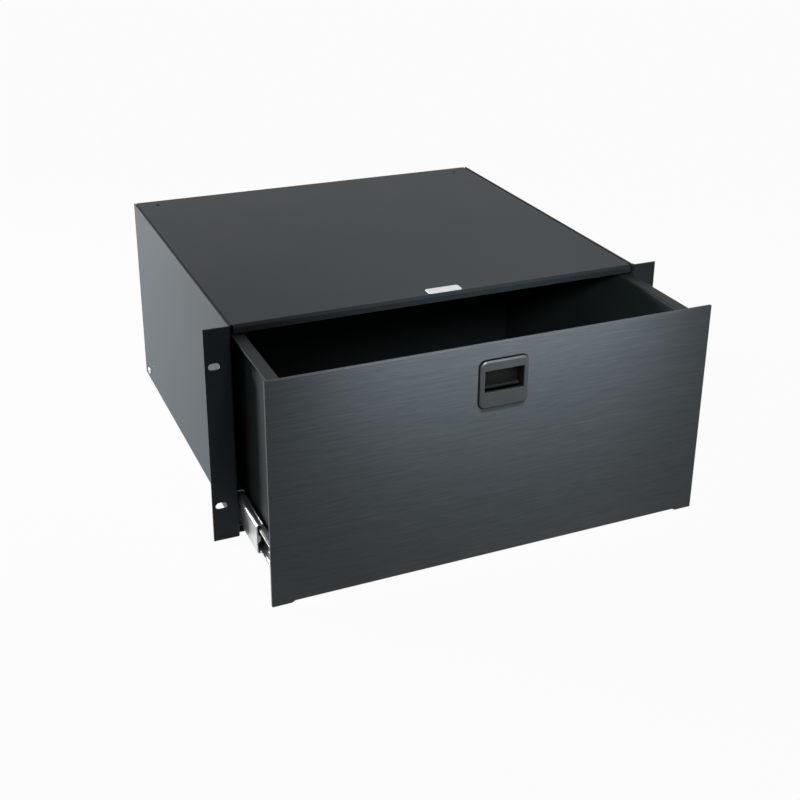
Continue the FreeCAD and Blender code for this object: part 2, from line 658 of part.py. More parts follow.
def end_wall():
    """Front wall before its openings are cut: a rim turned in above, a foot on the floor."""
    wall_y = DRAWER_SHEET / 2
    top_z = END_WALL_TOP - DRAWER_SHEET / 2
    foot_z = FLOOR_TOP + DRAWER_SHEET / 2
    section = folded([(END_RIM, top_z), (wall_y, top_z), (wall_y, foot_z),
                      (DRAWER_FLOOR_FLANGE, foot_z)], DRAWER_SHEET)
    return extrude(section, "X", -DRAWER_INNER, DRAWER_INNER)


def latch_body(start, end, margin=0.0):
    """The latch body's block between two y values, with a margin around it."""
    half = HOUSING_HALF + margin
    return block((-half, half), (start, end), (HOUSING_BOTTOM - margin, HOUSING_TOP + margin))


def stud_places():
    column = DRAWER_INNER - STUD_INSET
    return [(x, z) for x in (-column, column)
            for z in (FLOOR_TOP + STUD_INSET, END_WALL_TOP - STUD_INSET)]


def drawer_front():
    """Front wall with the latch opening, a rim notch for the bolt, and holes for the studs."""
    wall = end_wall().cut(latch_body(-OVERCUT, DRAWER_SHEET + OVERCUT, HOUSING_FIT))
    half = BOLT_HEAD_WIDTH / 2 + RIM_NOTCH_ROOM
    wall = wall.cut(block((-half, half), (DRAWER_SHEET, END_RIM + OVERCUT),
                          (HOUSING_TOP, END_WALL_TOP + OVERCUT)))
    for x, z in stud_places():
        wall = wall.cut(rod(SCREW_RADIUS + SCREW_CLEARANCE, (x, -OVERCUT, z),
                            DRAWER_SHEET + 2 * OVERCUT, "Y"))
    return wall


def drawer_back():
    """Rear wall: the front wall's blank turned round."""
    wall = end_wall()
    wall.rotate(Vector(), AXES["Z"], 180)
    wall.translate(Vector(0, DRAWER_DEPTH, 0))
    return wall


def face_plate():
    """Front panel: a thick plate with its bottom edge cut back between two end tabs."""
    half = FACE_WIDTH / 2
    tab = half - FACE_TAB
    step = tab - FACE_TAB_SLOPE
    corners = [(-half, 0), (-tab, 0), (-step, FACE_UNDERCUT), (step, FACE_UNDERCUT), (tab, 0),
               (half, 0), (half, PANEL_HEIGHT), (-half, PANEL_HEIGHT), (-half, 0)]
    outline = Part.makePolygon([Vector(*corner) for corner in corners])
    plate = extrude(outline, "Y", -FACE_THICKNESS, 0)
    front = [edge for edge in plate.Edges
             if all(abs(v.Point.y + FACE_THICKNESS) < JOIN for v in edge.Vertexes)]
    plate = plate.makeChamfer(FACE_EDGE, front)
    return plate.cut(latch_body(-FACE_THICKNESS - OVERCUT, OVERCUT, HOUSING_FIT))


def face_fastenings():
    """Studs welded to the back of the face, and their nuts inside the drawer."""
    length = DRAWER_SHEET + NUT_HEIGHT + THREAD_END
    studs = [rod(SCREW_RADIUS, (x, 0, z), length, "Y") for x, z in stud_places()]
    nuts = [moved(hex_nut("Y"), x, DRAWER_SHEET, z) for x, z in stud_places()]
    return studs, nuts


# ---- latch ---------------------------------------------------------------------------------
def latch_housing():
    """Moulded bezel and body: finger recess, pocket, bolt guide, pin bores and snap barbs."""
    middle = (0, (BEZEL_TOP + BEZEL_BOTTOM) / 2)
    rim = extrude(rounded_rectangle(middle, (BEZEL_WIDTH, BEZEL_HEIGHT), BEZEL_CORNER), "Y",
                  BEZEL_FRONT, BEZEL_FRONT + BEZEL_PROUD - BEZEL_GROOVE)
    front = [edge for edge in rim.Edges
             if all(abs(v.Point.y - BEZEL_FRONT) < JOIN for v in edge.Vertexes)]
    rim = rim.makeChamfer(BEZEL_EDGE, front)
    neck = rounded_rectangle(middle, (BEZEL_WIDTH - 2 * BEZEL_GROOVE,
                                      BEZEL_HEIGHT - 2 * BEZEL_GROOVE), BEZEL_CORNER - BEZEL_GROOVE)
    neck = extrude(neck, "Y", -FACE_THICKNESS - BEZEL_GROOVE, -FACE_THICKNESS)
    housing = joined([rim, neck, latch_body(-FACE_THICKNESS, HOUSING_REAR)])
    recess = rounded_rectangle((0, (RECESS_TOP + RECESS_BOTTOM) / 2),
                               (2 * RECESS_HALF, RECESS_HEIGHT), RECESS_CORNER)
    housing = housing.cut(extrude(recess, "Y", BEZEL_FRONT - OVERCUT, POCKET_FRONT + OVERCUT))
    housing = housing.cut(block((-RECESS_HALF, RECESS_HALF),
                                (POCKET_FRONT, HOUSING_REAR - HOUSING_WALL),
                                (POCKET_BOTTOM, POCKET_TOP)))
    guide = BOLT_WIDTH / 2 + BOLT_GUIDE
    housing = housing.cut(block((-guide, guide), (SHANK_FRONT - BOLT_GUIDE, SHANK_REAR + BOLT_GUIDE),
                                (POCKET_TOP - OVERCUT, HOUSING_TOP + OVERCUT)))
    bore_half = HOUSING_HALF + OVERCUT
    housing = housing.cut(rod(PIVOT_PIN_RADIUS + PIVOT_CLEARANCE,
                              (-bore_half, PIVOT_Y, PIVOT_HEIGHT), 2 * bore_half, "X"))
    root = HOUSING_HALF - HOUSING_WALL / 2
    ramp = [(root, DRAWER_SHEET), (HOUSING_HALF + BARB_PROUD, DRAWER_SHEET),
            (HOUSING_HALF, DRAWER_SHEET + BARB_DEPTH), (root, DRAWER_SHEET + BARB_DEPTH),
            (root, DRAWER_SHEET)]
    barb = extrude(Part.makePolygon([Vector(*p) for p in ramp]), "Z",
                   middle[1] - BARB_HEIGHT / 2, middle[1] + BARB_HEIGHT / 2)
    return joined([housing] + both_sides(barb))


def latch_pin():
    """Steel pin that the paddle turns on."""
    return rod(PIVOT_PIN_RADIUS, (-HOUSING_HALF, PIVOT_Y, PIVOT_HEIGHT), 2 * HOUSING_HALF, "X")


def latch_paddle():
    """Finger paddle: a hooked plate below its barrel, and an arm behind that works the bolt."""
    half = RECESS_HALF - PADDLE_SIDE_GAP
    pivot = (PIVOT_Y, PIVOT_HEIGHT)
    knee, lip = [(PIVOT_Y + y, PIVOT_HEIGHT + z) for y, z in (PADDLE_KNEE, PADDLE_LIP)]
    path = bent_path([pivot, knee, lip], PADDLE_BEND)
    plate = extrude(ribbon(path, PADDLE_SHEET), "X", -half, half)
    barrel = rod(PADDLE_BARREL, (-half, *pivot), 2 * half, "X")
    knob = (ARM_END_Y, ARM_END_HEIGHT)
    side = BOLT_WIDTH / 2 - ARM_SIDE_GAP
    arm = extrude(ribbon([Run(pivot, knob)], ARM_SHEET), "X", -side, side)
    ball_end = rod(ARM_KNOB, (-side, *knob), 2 * side, "X")
    bore = rod(PIVOT_PIN_RADIUS + PIVOT_CLEARANCE, (-half, *pivot), 2 * half, "X")
    return joined([plate, barrel, arm, ball_end]).cut(bore)


def latch_bolt():
    """Sliding bolt: a ramped head above the housing and a notched shank behind the paddle."""
    half = BOLT_WIDTH / 2
    shank = block((-half, half), (SHANK_FRONT, SHANK_REAR), (BOLT_TOE, HEAD_BOTTOM))
    play = ARM_KNOB + BOLT_NOTCH_PLAY
    shank = shank.cut(block((-half, half), (SHANK_FRONT, SHANK_FRONT + BOLT_NOTCH_DEPTH),
                            (ARM_END_HEIGHT - play, ARM_END_HEIGHT + play)))
    wedge = [(HEAD_FRONT, HEAD_BOTTOM), (SHANK_REAR, HEAD_BOTTOM),
             (SHANK_REAR, HEAD_BOTTOM + BOLT_HEAD_HEEL), (HEAD_FRONT + BOLT_HEAD_FLAT, HEAD_TOP),
             (HEAD_FRONT, HEAD_TOP), (HEAD_FRONT, HEAD_BOTTOM)]
    head = extrude(Part.makePolygon([Vector(*p) for p in wedge]), "X",
                   -BOLT_HEAD_WIDTH / 2, BOLT_HEAD_WIDTH / 2)
    return joined([shank, head])


def latch_spring():
    """Coil spring under the bolt's toe, standing on the pocket's floor: wire sections, skinned."""
    bottom = POCKET_BOTTOM + SPRING_WIRE + SPRING_SEAT_GAP
    height = BOLT_TOE - SPRING_WIRE - SPRING_SEAT_GAP - bottom
    corners = [polar(SPRING_WIRE, 360 * n / SPRING_WIRE_SIDES) for n in range(SPRING_WIRE_SIDES)]
    steps = SPRING_TURNS * SPRING_STEPS
    sections = []
    for step in range(steps + 1):
        sections.append([])
        for corner in corners:
            around = polar(SPRING_RADIUS + corner.x, 360 * step / SPRING_STEPS)
            sections[-1].append(around + AXES["Z"] * (corner.y + height * step / steps))
    return moved(faceted(sections, False), 0, (SHANK_FRONT + SHANK_REAR) / 2, bottom)


# ---- output --------------------------------------------------------------------------------
def save(node, shapes, share=0.0):
    """Write a node's STEP file, with its pieces at their stored place.

    share is the part of the drawer's travel that the node makes: 0 for the case, 1 for the drawer.
    """
    pieces = shapes if isinstance(shapes, list) else [shapes]
    place = Vector(0, -share * REST_OPENING, -PANEL_HEIGHT / 2)
    out = [moved(piece, place.x, place.y, place.z) for piece in pieces]
    shape = out[0] if len(out) == 1 else Part.makeCompound(out)
    shape.exportStep("parts/" + node + ".step")


def save_pair(node, shapes, share=0.0):
    """Write a right-hand node and its left-hand twin."""
    pieces = shapes if isinstance(shapes, list) else [shapes]
    save(node + "_right", pieces, share)
    save(node + "_left", [mirrored(piece) for piece in pieces], share)


def main():
    os.makedirs("parts", exist_ok=True)

    save_pair("case_side", case_side())
    save("case_top", case_top())
    save("case_back", case_back())
    save("case_brace", case_brace())
    save("badge_plate", badge_plate())
    screw, nut = rear_fastening()
    save("case_rear_screws", both_sides(screw))
    save("case_rear_nuts", both_sides(nut))

    save_pair("slide_outer", slide_part(ribbon(outer_section(), SLIDE_SHEET),
                                        SLIDE_SETBACK, SLIDE_LENGTH))
    save_pair("slide_middle", slide_part(ribbon(middle_section(), SLIDE_SHEET),
                                         SLIDE_SETBACK, SLIDE_LENGTH), MIDDLE_SHARE)
    save_pair("slide_bumper", middle_bumper(), MIDDLE_SHARE)
    save_pair("slide_inner", inner_member(), 1.0)
    cage, balls = outer_cage()
    save_pair("outer_ball_cage", cage, OUTER_CAGE_SHARE)
    save_pair("outer_balls", balls, OUTER_CAGE_SHARE)
    cage, balls = inner_cage()
    save_pair("inner_ball_cage", cage, INNER_CAGE_SHARE)
    save_pair("inner_balls", balls, INNER_CAGE_SHARE)

    save_pair("drawer_side", drawer_side(), 1.0)
    save("drawer_floor", drawer_floor(), 1.0)
    save("drawer_front", drawer_front(), 1.0)
    save("drawer_back", drawer_back(), 1.0)
    screws, nuts = slide_fastenings()
    save_pair("slide_screws", screws, 1.0)
    save_pair("slide_nuts", nuts, 1.0)
    save("face_plate", face_plate(), 1.0)
    studs, nuts = face_fastenings()
    save("face_studs", studs, 1.0)
    save("face_nuts", nuts, 1.0)

    save("latch_housing", latch_housing(), 1.0)
    save("latch_pin", latch_pin(), 1.0)
    save("latch_paddle", latch_paddle(), 1.0)
    save("latch_bolt", latch_bolt(), 1.0)
    save("latch_spring", latch_spring(), 1.0)


main()
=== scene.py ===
"""Looks of the sliding rack drawer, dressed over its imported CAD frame.

The case, the slides, the drawer and the latch are classes that hold their own
sizes, build the small shapes the solids leave plain, and put a finish on every
surface. Lengths are in metres.
"""

import logging
import math
from collections.abc import Iterable, Mapping
from dataclasses import dataclass, field
from enum import Enum
from typing import Any, Union

import bmesh
import bpy
import numpy as np
from mathutils import Matrix, Vector


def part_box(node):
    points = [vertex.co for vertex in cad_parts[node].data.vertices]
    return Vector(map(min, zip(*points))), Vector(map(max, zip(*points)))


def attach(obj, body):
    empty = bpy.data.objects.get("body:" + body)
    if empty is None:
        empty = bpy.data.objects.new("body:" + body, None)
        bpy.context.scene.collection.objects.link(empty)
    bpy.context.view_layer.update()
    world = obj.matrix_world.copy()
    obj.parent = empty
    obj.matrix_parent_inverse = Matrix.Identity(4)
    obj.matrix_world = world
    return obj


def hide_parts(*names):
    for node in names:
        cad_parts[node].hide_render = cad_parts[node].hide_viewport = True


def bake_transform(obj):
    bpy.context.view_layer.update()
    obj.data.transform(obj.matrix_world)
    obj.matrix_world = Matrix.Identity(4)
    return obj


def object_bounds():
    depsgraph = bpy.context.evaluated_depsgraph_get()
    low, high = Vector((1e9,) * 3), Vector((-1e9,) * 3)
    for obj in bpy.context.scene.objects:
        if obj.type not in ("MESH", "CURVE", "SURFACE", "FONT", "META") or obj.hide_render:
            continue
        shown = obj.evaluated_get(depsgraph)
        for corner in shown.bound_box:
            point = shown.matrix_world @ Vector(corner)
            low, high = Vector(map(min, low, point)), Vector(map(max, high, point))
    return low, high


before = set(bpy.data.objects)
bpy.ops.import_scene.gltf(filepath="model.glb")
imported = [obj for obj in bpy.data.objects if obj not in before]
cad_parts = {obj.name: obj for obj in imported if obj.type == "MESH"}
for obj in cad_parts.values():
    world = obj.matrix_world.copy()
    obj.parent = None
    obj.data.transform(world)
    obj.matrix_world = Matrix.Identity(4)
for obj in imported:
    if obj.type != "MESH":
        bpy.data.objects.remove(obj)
cad_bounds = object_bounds()

log = logging.getLogger("rack_drawer")

Grid = np.ndarray
Skin = tuple[Grid, list[list[int]]]
Span = tuple[float, float]
Scale = tuple[float, float, float]
Colour = tuple[float, float, float]
Point = tuple[float, float, float]
Operand = Union["Reading", float]

MM = 0.001
SIDES = ("left", "right")
FULL_TURN = 2 * math.pi
QUARTER_TURN = math.pi / 2

# Nearly all of a noise lies in this range.
NOISE_RANGE = (0.3, 0.7)

# Angles between faces: shaded smooth up to, rounded from, and merged within.
SMOOTH_UP_TO = math.radians(32)
BEVEL_FROM = math.radians(34)
COPLANAR_WITHIN = math.radians(0.5)

# Distances that count as nothing: in the CAD's meshes, in new skins, between levels.
CAD_MERGE = 1e-6
SKIN_MERGE = 1e-7
LEVEL_WITHIN = 1e-9

FACE_WEIGHT = 100
POLE_LEAN = math.radians(86)


class Axis(Enum):
    """An axis of the row frame, as the index of its coordinate."""

    X = 0
    Y = 1
    Z = 2


# ---------------------------------------------------------------- shader maths


class Reading:
    """A number read from a socket, on which arithmetic adds Math nodes."""

    def __init__(self, bench: "Bench", socket: bpy.types.NodeSocket) -> None:
        """Keeps the socket and the bench that owns its tree."""
        self.bench = bench
        self.socket = socket

    def math(self, operation: str, *others: Operand) -> "Reading":
        """Applies one Math operation with this reading first."""
        operands = dict(enumerate((self, *others)))
        return self.bench.node("ShaderNodeMath", {"operation": operation}, operands)

    def turned(self, operation: str, first: Operand) -> "Reading":
        """Applies one Math operation with this reading second."""
        return self.bench.node("ShaderNodeMath", {"operation": operation}, {0: first, 1: self})

    def __add__(self, other: Operand) -> "Reading":
        """Adds."""
        return self.math("ADD", other)

    __radd__ = __add__

    def __sub__(self, other: Operand) -> "Reading":
        """Takes other away."""
        return self.math("SUBTRACT", other)

    def __rsub__(self, other: Operand) -> "Reading":
        """Takes this away from other."""
        return self.turned("SUBTRACT", other)

    def __mul__(self, other: Operand) -> "Reading":
        """Multiplies."""
        return self.math("MULTIPLY", other)

    __rmul__ = __mul__

    def between(self, low: float, high: float, start: float = 0.0, end: float = 1.0) -> "Reading":
        """Maps low..high smoothly onto start..end, flat beyond both."""
        values = {"Value": self, "From Min": low, "From Max": high, "To Min": start, "To Max": end}
        return self.bench.node("ShaderNodeMapRange", {"interpolation_type": "SMOOTHSTEP"}, values)


class Bench:
    """The node tree of one material, with its shader and output in place."""

    def __init__(self, name: str) -> None:
        """Makes the material with an empty tree, a Principled shader and an output.

        Args:
            name: the material's name.
        """
        self.material = bpy.data.materials.new(name)
        self.material.use_nodes = True
        self.tree = self.material.node_tree
        self.tree.nodes.clear()
        self.shader = self.tree.nodes.new("ShaderNodeBsdfPrincipled")
        self.output = self.tree.nodes.new("ShaderNodeOutputMaterial")
        self.tree.links.new(self.shader.outputs[0], self.output.inputs["Surface"])
        self.place = self.node("ShaderNodeTexCoord", {}, {}, "Object")

    def node(
        self,
        kind: str,
        settings: Mapping[str, Any],
        inputs: Mapping[Any, Any],
        output: Any = 0,
    ) -> Reading:
        """Adds one node.

        Args:
            kind: the node's type.
            settings: the properties that are set before its sockets.
            inputs: values, or readings to link, by socket name or number.
            output: the socket that is read.

        Returns:
            That socket as a reading.
        """
        made = self.tree.nodes.new(kind)
        for key, value in settings.items():
            setattr(made, key, value)
        for key, value in inputs.items():
            self.feed(made.inputs[key], value)
        return Reading(self, made.outputs[output])

    def feed(self, socket: bpy.types.NodeSocket, value: Any) -> None:
        """Links a reading to a socket, or sets the socket's own value.

        Args:
            socket: the input that is fed.
            value: a reading, or a plain value.
        """
        if isinstance(value, Reading):
            self.tree.links.new(value.socket, socket)
        else:
            socket.default_value = value

    def shade(self, **values: Any) -> None:
        """Feeds the shader's sockets, named with underscores for spaces."""
        for key, value in values.items():
            self.feed(self.shader.inputs[key.replace("_", " ")], value)

    def stretched(self, scale: Scale) -> Reading:
        """Object coordinates multiplied by a scale for each axis, in cells per metre."""
        settings = {"operation": "MULTIPLY"}
        return self.node("ShaderNodeVectorMath", settings, {0: self.place, 1: scale})

    def noise(self, scale: Scale, detail: float, roughness: float = 0.5) -> Reading:
        """Soft noise about 0.5, from 0 to 1, with cells of their own size along each axis."""
        values = {"Scale": 1.0, "Detail": detail, "Roughness": roughness}
        return self.node("ShaderNodeTexNoise", {}, {"Vector": self.stretched(scale), **values})

    def mixed(self, share: Operand, first: Any, second: Any) -> Reading:
        """Blends two colours.

        Args:
            share: how much of the second colour shows.
            first: a colour, or a reading of one.
            second: a colour, or a reading of one.

        Returns:
            The blend.
        """
        made = self.tree.nodes.new("ShaderNodeMix")
        made.data_type = "RGBA"
        factor, low, high = made.inputs[0], made.inputs[6], made.inputs[7]
        for socket, value in ((factor, share), (low, opaque(first)), (high, opaque(second))):
            self.feed(socket, value)
        return Reading(self, made.outputs[2])

    def toned(self, tone: Operand, colour: Colour, contrast: float) -> Reading:
        """Takes a colour from darker to lighter by the contrast as the tone goes from 0 to 1."""
        return self.mixed(tone, tinted(colour, 1 - contrast), tinted(colour, 1 + contrast))

    def edges(self, reach: float, flat: float = 0.995, sharp: float = 0.86) -> Reading:
        """How near a point is to a sharp edge of its piece.

        The surface's own normal is set against one rounded over the reach; the
        two part company only beside an edge.

        Args:
            reach: how far from the edge the share falls to 0, in metres.
            flat: how well the two agree where the share is 0.
            sharp: how well they agree where it is 1.

        Returns:
            The share, 1 on the edge and 0 on open surfaces.
        """
        rounded = self.node("ShaderNodeBevel", {"samples": 6}, {"Radius": reach})
        true = self.node("ShaderNodeNewGeometry", {}, {}, "True Normal")
        pair = {0: rounded, 1: true}
        match = self.node("ShaderNodeVectorMath", {"operation": "DOT_PRODUCT"}, pair, "Value")
        return match.between(flat, sharp)

    def bumped(self, height: Reading, depth: float) -> Reading:
        """Turns a height of 0..1, whose full range is the depth in metres, into a normal."""
        values = {"Height": height, "Distance": depth, "Strength": 1.0}
        return self.node("ShaderNodeBump", {}, values)


def weighted(*parts: tuple[Reading, float]) -> Reading:
    """Adds readings up.

    Args:
        *parts: each reading with the share it adds.

    Returns:
        The sum.
    """
    total, *others = (reading * share for reading, share in parts)
    for other in others:
        total = total + other
    return total


def varied(middle: float, *parts: tuple[Reading, float]) -> Reading:
    """A value that noises move about its middle, each by the range given with it."""
    return weighted(*parts) + (middle - sum(reach for _, reach in parts) / 2)


def opaque(colour: Any) -> Any:
    """Gives a bare colour its alpha, and passes a reading through."""
    return colour if isinstance(colour, Reading) else (*colour, 1.0)


def tinted(colour: Colour, factor: float) -> Colour:
    """A colour made lighter or darker by one factor, each part 1 at most."""
    return tuple(min(1.0, part * factor) for part in colour)


# ---------------------------------------------------------------- finishes


@dataclass(frozen=True)
class PowderCoat:
    """Textured powder coat: small rounded grains, faint cloudiness, satin sheen.

    Grains and clouds are sized in cells per metre. Edges are lightened by a factor,
    by a share that grows with the clouds: partly a thinner coat, partly a painted highlight.
    """

    name: str
    colour: Colour
    roughness: float = 0.46
    grain: float = 900.0
    coarse_grain: float = 279.0
    cloud: float = 9.0
    relief: float = 0.09 * MM
    contrast: float = 0.14
    gloss: float = 0.1
    edge_wear_and_highlight: float = 2.6
    edge_wear_and_highlight_reach: float = 0.7 * MM
    edge_wear_and_highlight_clouds: Span = (0.35, 0.6)
    edge_wear_and_highlight_share: Span = (0.35, 0.9)

    def make(self) -> bpy.types.Material:
        """Builds the material: two sizes of grain, clouds, and edges lightened as a thinner coat
        and a painted highlight.

        Returns:
            The material.
        """
        bench = Bench(self.name)
        fine = bench.noise((self.grain,) * 3, detail=3.0, roughness=0.6)
        coarse = bench.noise((self.coarse_grain,) * 3, detail=1.0)
        clouds = bench.noise((self.cloud,) * 3, detail=3.0)
        tone = weighted((clouds, 0.45), (fine, 0.35), (coarse, 0.2)).between(*NOISE_RANGE)
        coat = bench.toned(tone, self.colour, self.contrast)
        # Edges lightened where the clouds allow: partly a thinner coat, partly a painted
        # highlight.
        worn_and_highlit_edges = bench.edges(self.edge_wear_and_highlight_reach) * clouds.between(*self.edge_wear_and_highlight_clouds, *self.edge_wear_and_highlight_share)
        bench.shade(
            Base_Color=bench.mixed(worn_and_highlit_edges, coat, tinted(self.colour, self.edge_wear_and_highlight)),
            Roughness=varied(self.roughness, (clouds, 0.1), (fine, 0.08)),
            Normal=bench.bumped(weighted((fine, 0.6), (coarse, 0.4)), self.relief),
            Specular_IOR_Level=self.gloss,
        )
        return bench.material


@dataclass(frozen=True)
class BrushedMetal:
    """Brushed and darkly anodised metal, its grain lying along one axis.

    Hair, stroke and band are the length and width of the drawn lines. The cut
    edges are where the normal's share along y falls from broad to narrow.
    """

    name: str
    colour: Colour
    along: Axis = Axis.X
    roughness: float = 0.4
    sheen_range: float = 0.07
    metallic: float = 0.22
    gloss: float = 0.12
    relief: float = 0.03 * MM
    contrast: float = 0.22
    cut: float = 0.5
    broad: float = 0.9
    narrow: float = 0.5
    hair: Span = (16 * MM, 0.32 * MM)
    stroke: Span = (36 * MM, 0.8 * MM)
    band: Span = (300 * MM, 4 * MM)

    def lines(self, bench: Bench, size: Span, detail: float) -> Reading:
        """Noise drawn out into lines along the grain.

        Args:
            bench: the material's bench.
            size: the length and the width of a line.
            detail: the octaves of finer noise.

        Returns:
            The noise.
        """
        length, width = size
        scale = [1 / width] * 3
        scale[self.along.value] = 1 / length
        return bench.noise(tuple(scale), detail, roughness=0.6)

    def cut_edges(self, bench: Bench) -> Reading:
        """Where the sheet's narrow cut edges are, which don't face along y.

        Args:
            bench: the material's bench.

        Returns:
            The share, 0 on the broad faces and 1 on the edges.
        """
        normal = bench.node("ShaderNodeNewGeometry", {}, {}, "True Normal")
        across = bench.node("ShaderNodeSeparateXYZ", {}, {0: normal}, "Y").math("ABSOLUTE")
        return across.between(self.broad, self.narrow)

    def make(self) -> bpy.types.Material:
        """Builds the material: three widths of drawn line, and a darker colour on cut edges.

        Returns:
            The material.
        """
        bench = Bench(self.name)
        hair = self.lines(bench, self.hair, detail=2.0)
        stroke = self.lines(bench, self.stroke, detail=2.0)
        band = self.lines(bench, self.band, detail=1.0)
        grain = weighted((hair, 0.48), (stroke, 0.42), (band, 0.1))
        metal = bench.toned(grain.between(*NOISE_RANGE), self.colour, self.contrast)
        sheen = (self.roughness - self.sheen_range, self.roughness + self.sheen_range)
        # Cut edges take cut times the metal's colour, darker than the broad faces.
        bench.shade(
            Base_Color=bench.mixed(self.cut_edges(bench), metal, tinted(self.colour, self.cut)),
            Metallic=self.metallic,
            Specular_IOR_Level=self.gloss,
            Roughness=grain.between(*NOISE_RANGE, *sheen),
            Normal=bench.bumped(weighted((hair, 0.5), (stroke, 0.5)), self.relief),
        )
        return bench.material


@dataclass(frozen=True)
class PlatedSteel:
    """Zinc or nickel plate: bright metal with faint spangle, stain and drawn lines.

    Lines, clouds and spangle are sized in cells per metre. The darkest stain
    is rougher by the dulling than the brightest metal.
    """

    name: str
    colour: Colour
    roughness: float = 0.3
    stain: float = 0.3
    along: Axis = Axis.Y
    line_width: float = 1500.0
    line_length: float = 18.0
    cloud: float = 55.0
    spangle: float = 420.0
    relief: float = 0.02 * MM
    tone_range: Span = (0.32, 0.68)
    dulling: float = 0.16
    polish: float = 0.06

    def make(self) -> bpy.types.Material:
        """Builds the material: rolling lines, cloudy stain and spangle in tone and sheen.

        Returns:
            The material.
        """
        bench = Bench(self.name)
        scale = [self.line_width] * 3
        scale[self.along.value] = self.line_length
        rolled = bench.noise(tuple(scale), detail=2.0)
        clouds = bench.noise((self.cloud,) * 3, detail=4.0, roughness=0.6)
        spangle = bench.noise((self.spangle,) * 3, detail=1.0)
        stain = weighted((clouds, 0.5), (spangle, 0.25), (rolled, 0.25))
        tone = stain.between(*self.tone_range)
        bench.shade(
            Base_Color=bench.mixed(tone, tinted(self.colour, 1 - self.stain), self.colour),
            Metallic=1.0,
            Roughness=(1 - tone) * self.dulling + (self.roughness - self.polish),
            Normal=bench.bumped(weighted((rolled, 0.5), (spangle, 0.5)), self.relief),
        )
        return bench.material


@dataclass(frozen=True)
class MouldedPlastic:
    """Moulded plastic: very fine spark texture and soft flow marks.

    Texture and flow are sized in cells per metre. Edges are lightened by a
    factor, partly as wear and partly as a painted highlight. Where an inner
    colour is given, it is painted shade, taking over behind a given plane in y.
    """

    name: str
    colour: Colour
    roughness: float = 0.36
    texture: float = 1500.0
    relief: float = 0.03 * MM
    gloss: float = 0.5
    scatter: float = 0.0
    scatter_scale: float = 2 * MM
    contrast: float = 0.12
    edge_wear_and_highlight: float = 1.6
    edge_wear_and_highlight_reach: float = 0.6 * MM
    edge_wear_and_highlight_share: float = 0.8
    polish: float = 0.1
    flow: Scale = (60.0, 60.0, 25.0)
    inner: Colour | None = None
    recess_shade_from: float = 0.0
    recess_shade_fade: float = 0.5 * MM

    def make(self) -> bpy.types.Material:
        """Builds the material: spark texture, flow marks, edges lightened as wear and painted
        highlight, and any painted recess shade.

        Returns:
            The material.
        """
        bench = Bench(self.name)
        spark = bench.noise((self.texture,) * 3, detail=2.0, roughness=0.6)
        flow = bench.noise(self.flow, detail=2.0)
        tone = weighted((flow, 0.7), (spark, 0.3)).between(*NOISE_RANGE)
        plain = bench.toned(tone, self.colour, self.contrast)
        # Edges lightened and polished: partly wear, partly a painted highlight.
        worn_and_highlit = bench.edges(self.edge_wear_and_highlight_reach)
        skin = bench.mixed(worn_and_highlit * self.edge_wear_and_highlight_share, plain, tinted(self.colour, self.edge_wear_and_highlight))
        # Painted shade: behind a plane in y the colour turns near-black, standing in for the shade
        # inside the recess.
        if self.inner:
            depth = bench.node("ShaderNodeSeparateXYZ", {}, {0: bench.place}, "Y")
            share = depth.between(self.recess_shade_from, self.recess_shade_from + self.recess_shade_fade)
            skin = bench.mixed(share, skin, self.inner)
        bench.shade(
            Base_Color=skin,
            Specular_IOR_Level=self.gloss,
            Roughness=varied(self.roughness, (flow, 0.08), (spark, 0.08)) - worn_and_highlit * self.polish,
            Normal=bench.bumped(spark, self.relief),
            Subsurface_Weight=self.scatter,
            Subsurface_Scale=self.scatter_scale,
        )
        return bench.material


# ---------------------------------------------------------------- surfaces


def mesh_object(name: str, points: Grid, faces: Iterable[Iterable[int]]) -> bpy.types.Object:
    """Puts points and faces into a new linked object at the origin.

    Args:
        name: the piece's name.
        points: the vertices, one row each.
        faces: the corners of each face.

    Returns:
        The object, shaded smooth by angle.
    """
    data = bpy.data.meshes.new(name)
    data.from_pydata(np.asarray(points, float).reshape(-1, 3).tolist(), [], list(faces))
    data.validate()
    return linked(name, data)


def linked(name: str, data: bpy.types.Mesh) -> bpy.types.Object:
    """Links a mesh as an object at the origin and shades it smooth by angle.

    Args:
        name: the piece's name.
        data: its mesh.

    Returns:
        The object.
    """
    made = bpy.data.objects.new(name, data)
    bpy.context.scene.collection.objects.link(made)
    data.polygons.foreach_set("use_smooth", np.ones(len(data.polygons), bool))
    data.set_sharp_from_angle(angle=SMOOTH_UP_TO)
    data.update()
    return made


def grid_faces(rows: int, columns: int, wraps: bool) -> Grid:
    """Quads of a grid of points.

    Args:
        rows: points along the first parameter.
        columns: points along the second parameter.
        wraps: whether the second parameter closes on itself.

    Returns:
        The corner numbers, one quad to a row.
    """
    steps = columns if wraps else columns - 1
    first, second = np.meshgrid(np.arange(rows - 1), np.arange(steps), indexing="ij")
    beside = (second + 1) % columns
    corners = (
        first * columns + second,
        first * columns + beside,
        (first + 1) * columns + beside,
        (first + 1) * columns + second,
    )
    return np.stack(corners, -1).reshape(-1, 4)


def tube_surface(rings: Grid) -> Skin:
    """A closed skin over rings of points.

    Ring i joins ring i + 1 by quads, and the first and last ring are each
    filled by one flat face.

    Args:
        rings: points by ring, place in the ring and coordinate.

    Returns:
        The points and the faces.
    """
    count, sides = rings.shape[:2]
    faces = grid_faces(count, sides, True).tolist()
    last = (count - 1) * sides
    faces.append(list(range(sides))[::-1])
    faces.append(list(range(last, last + sides)))
    return rings.reshape(-1, 3), faces


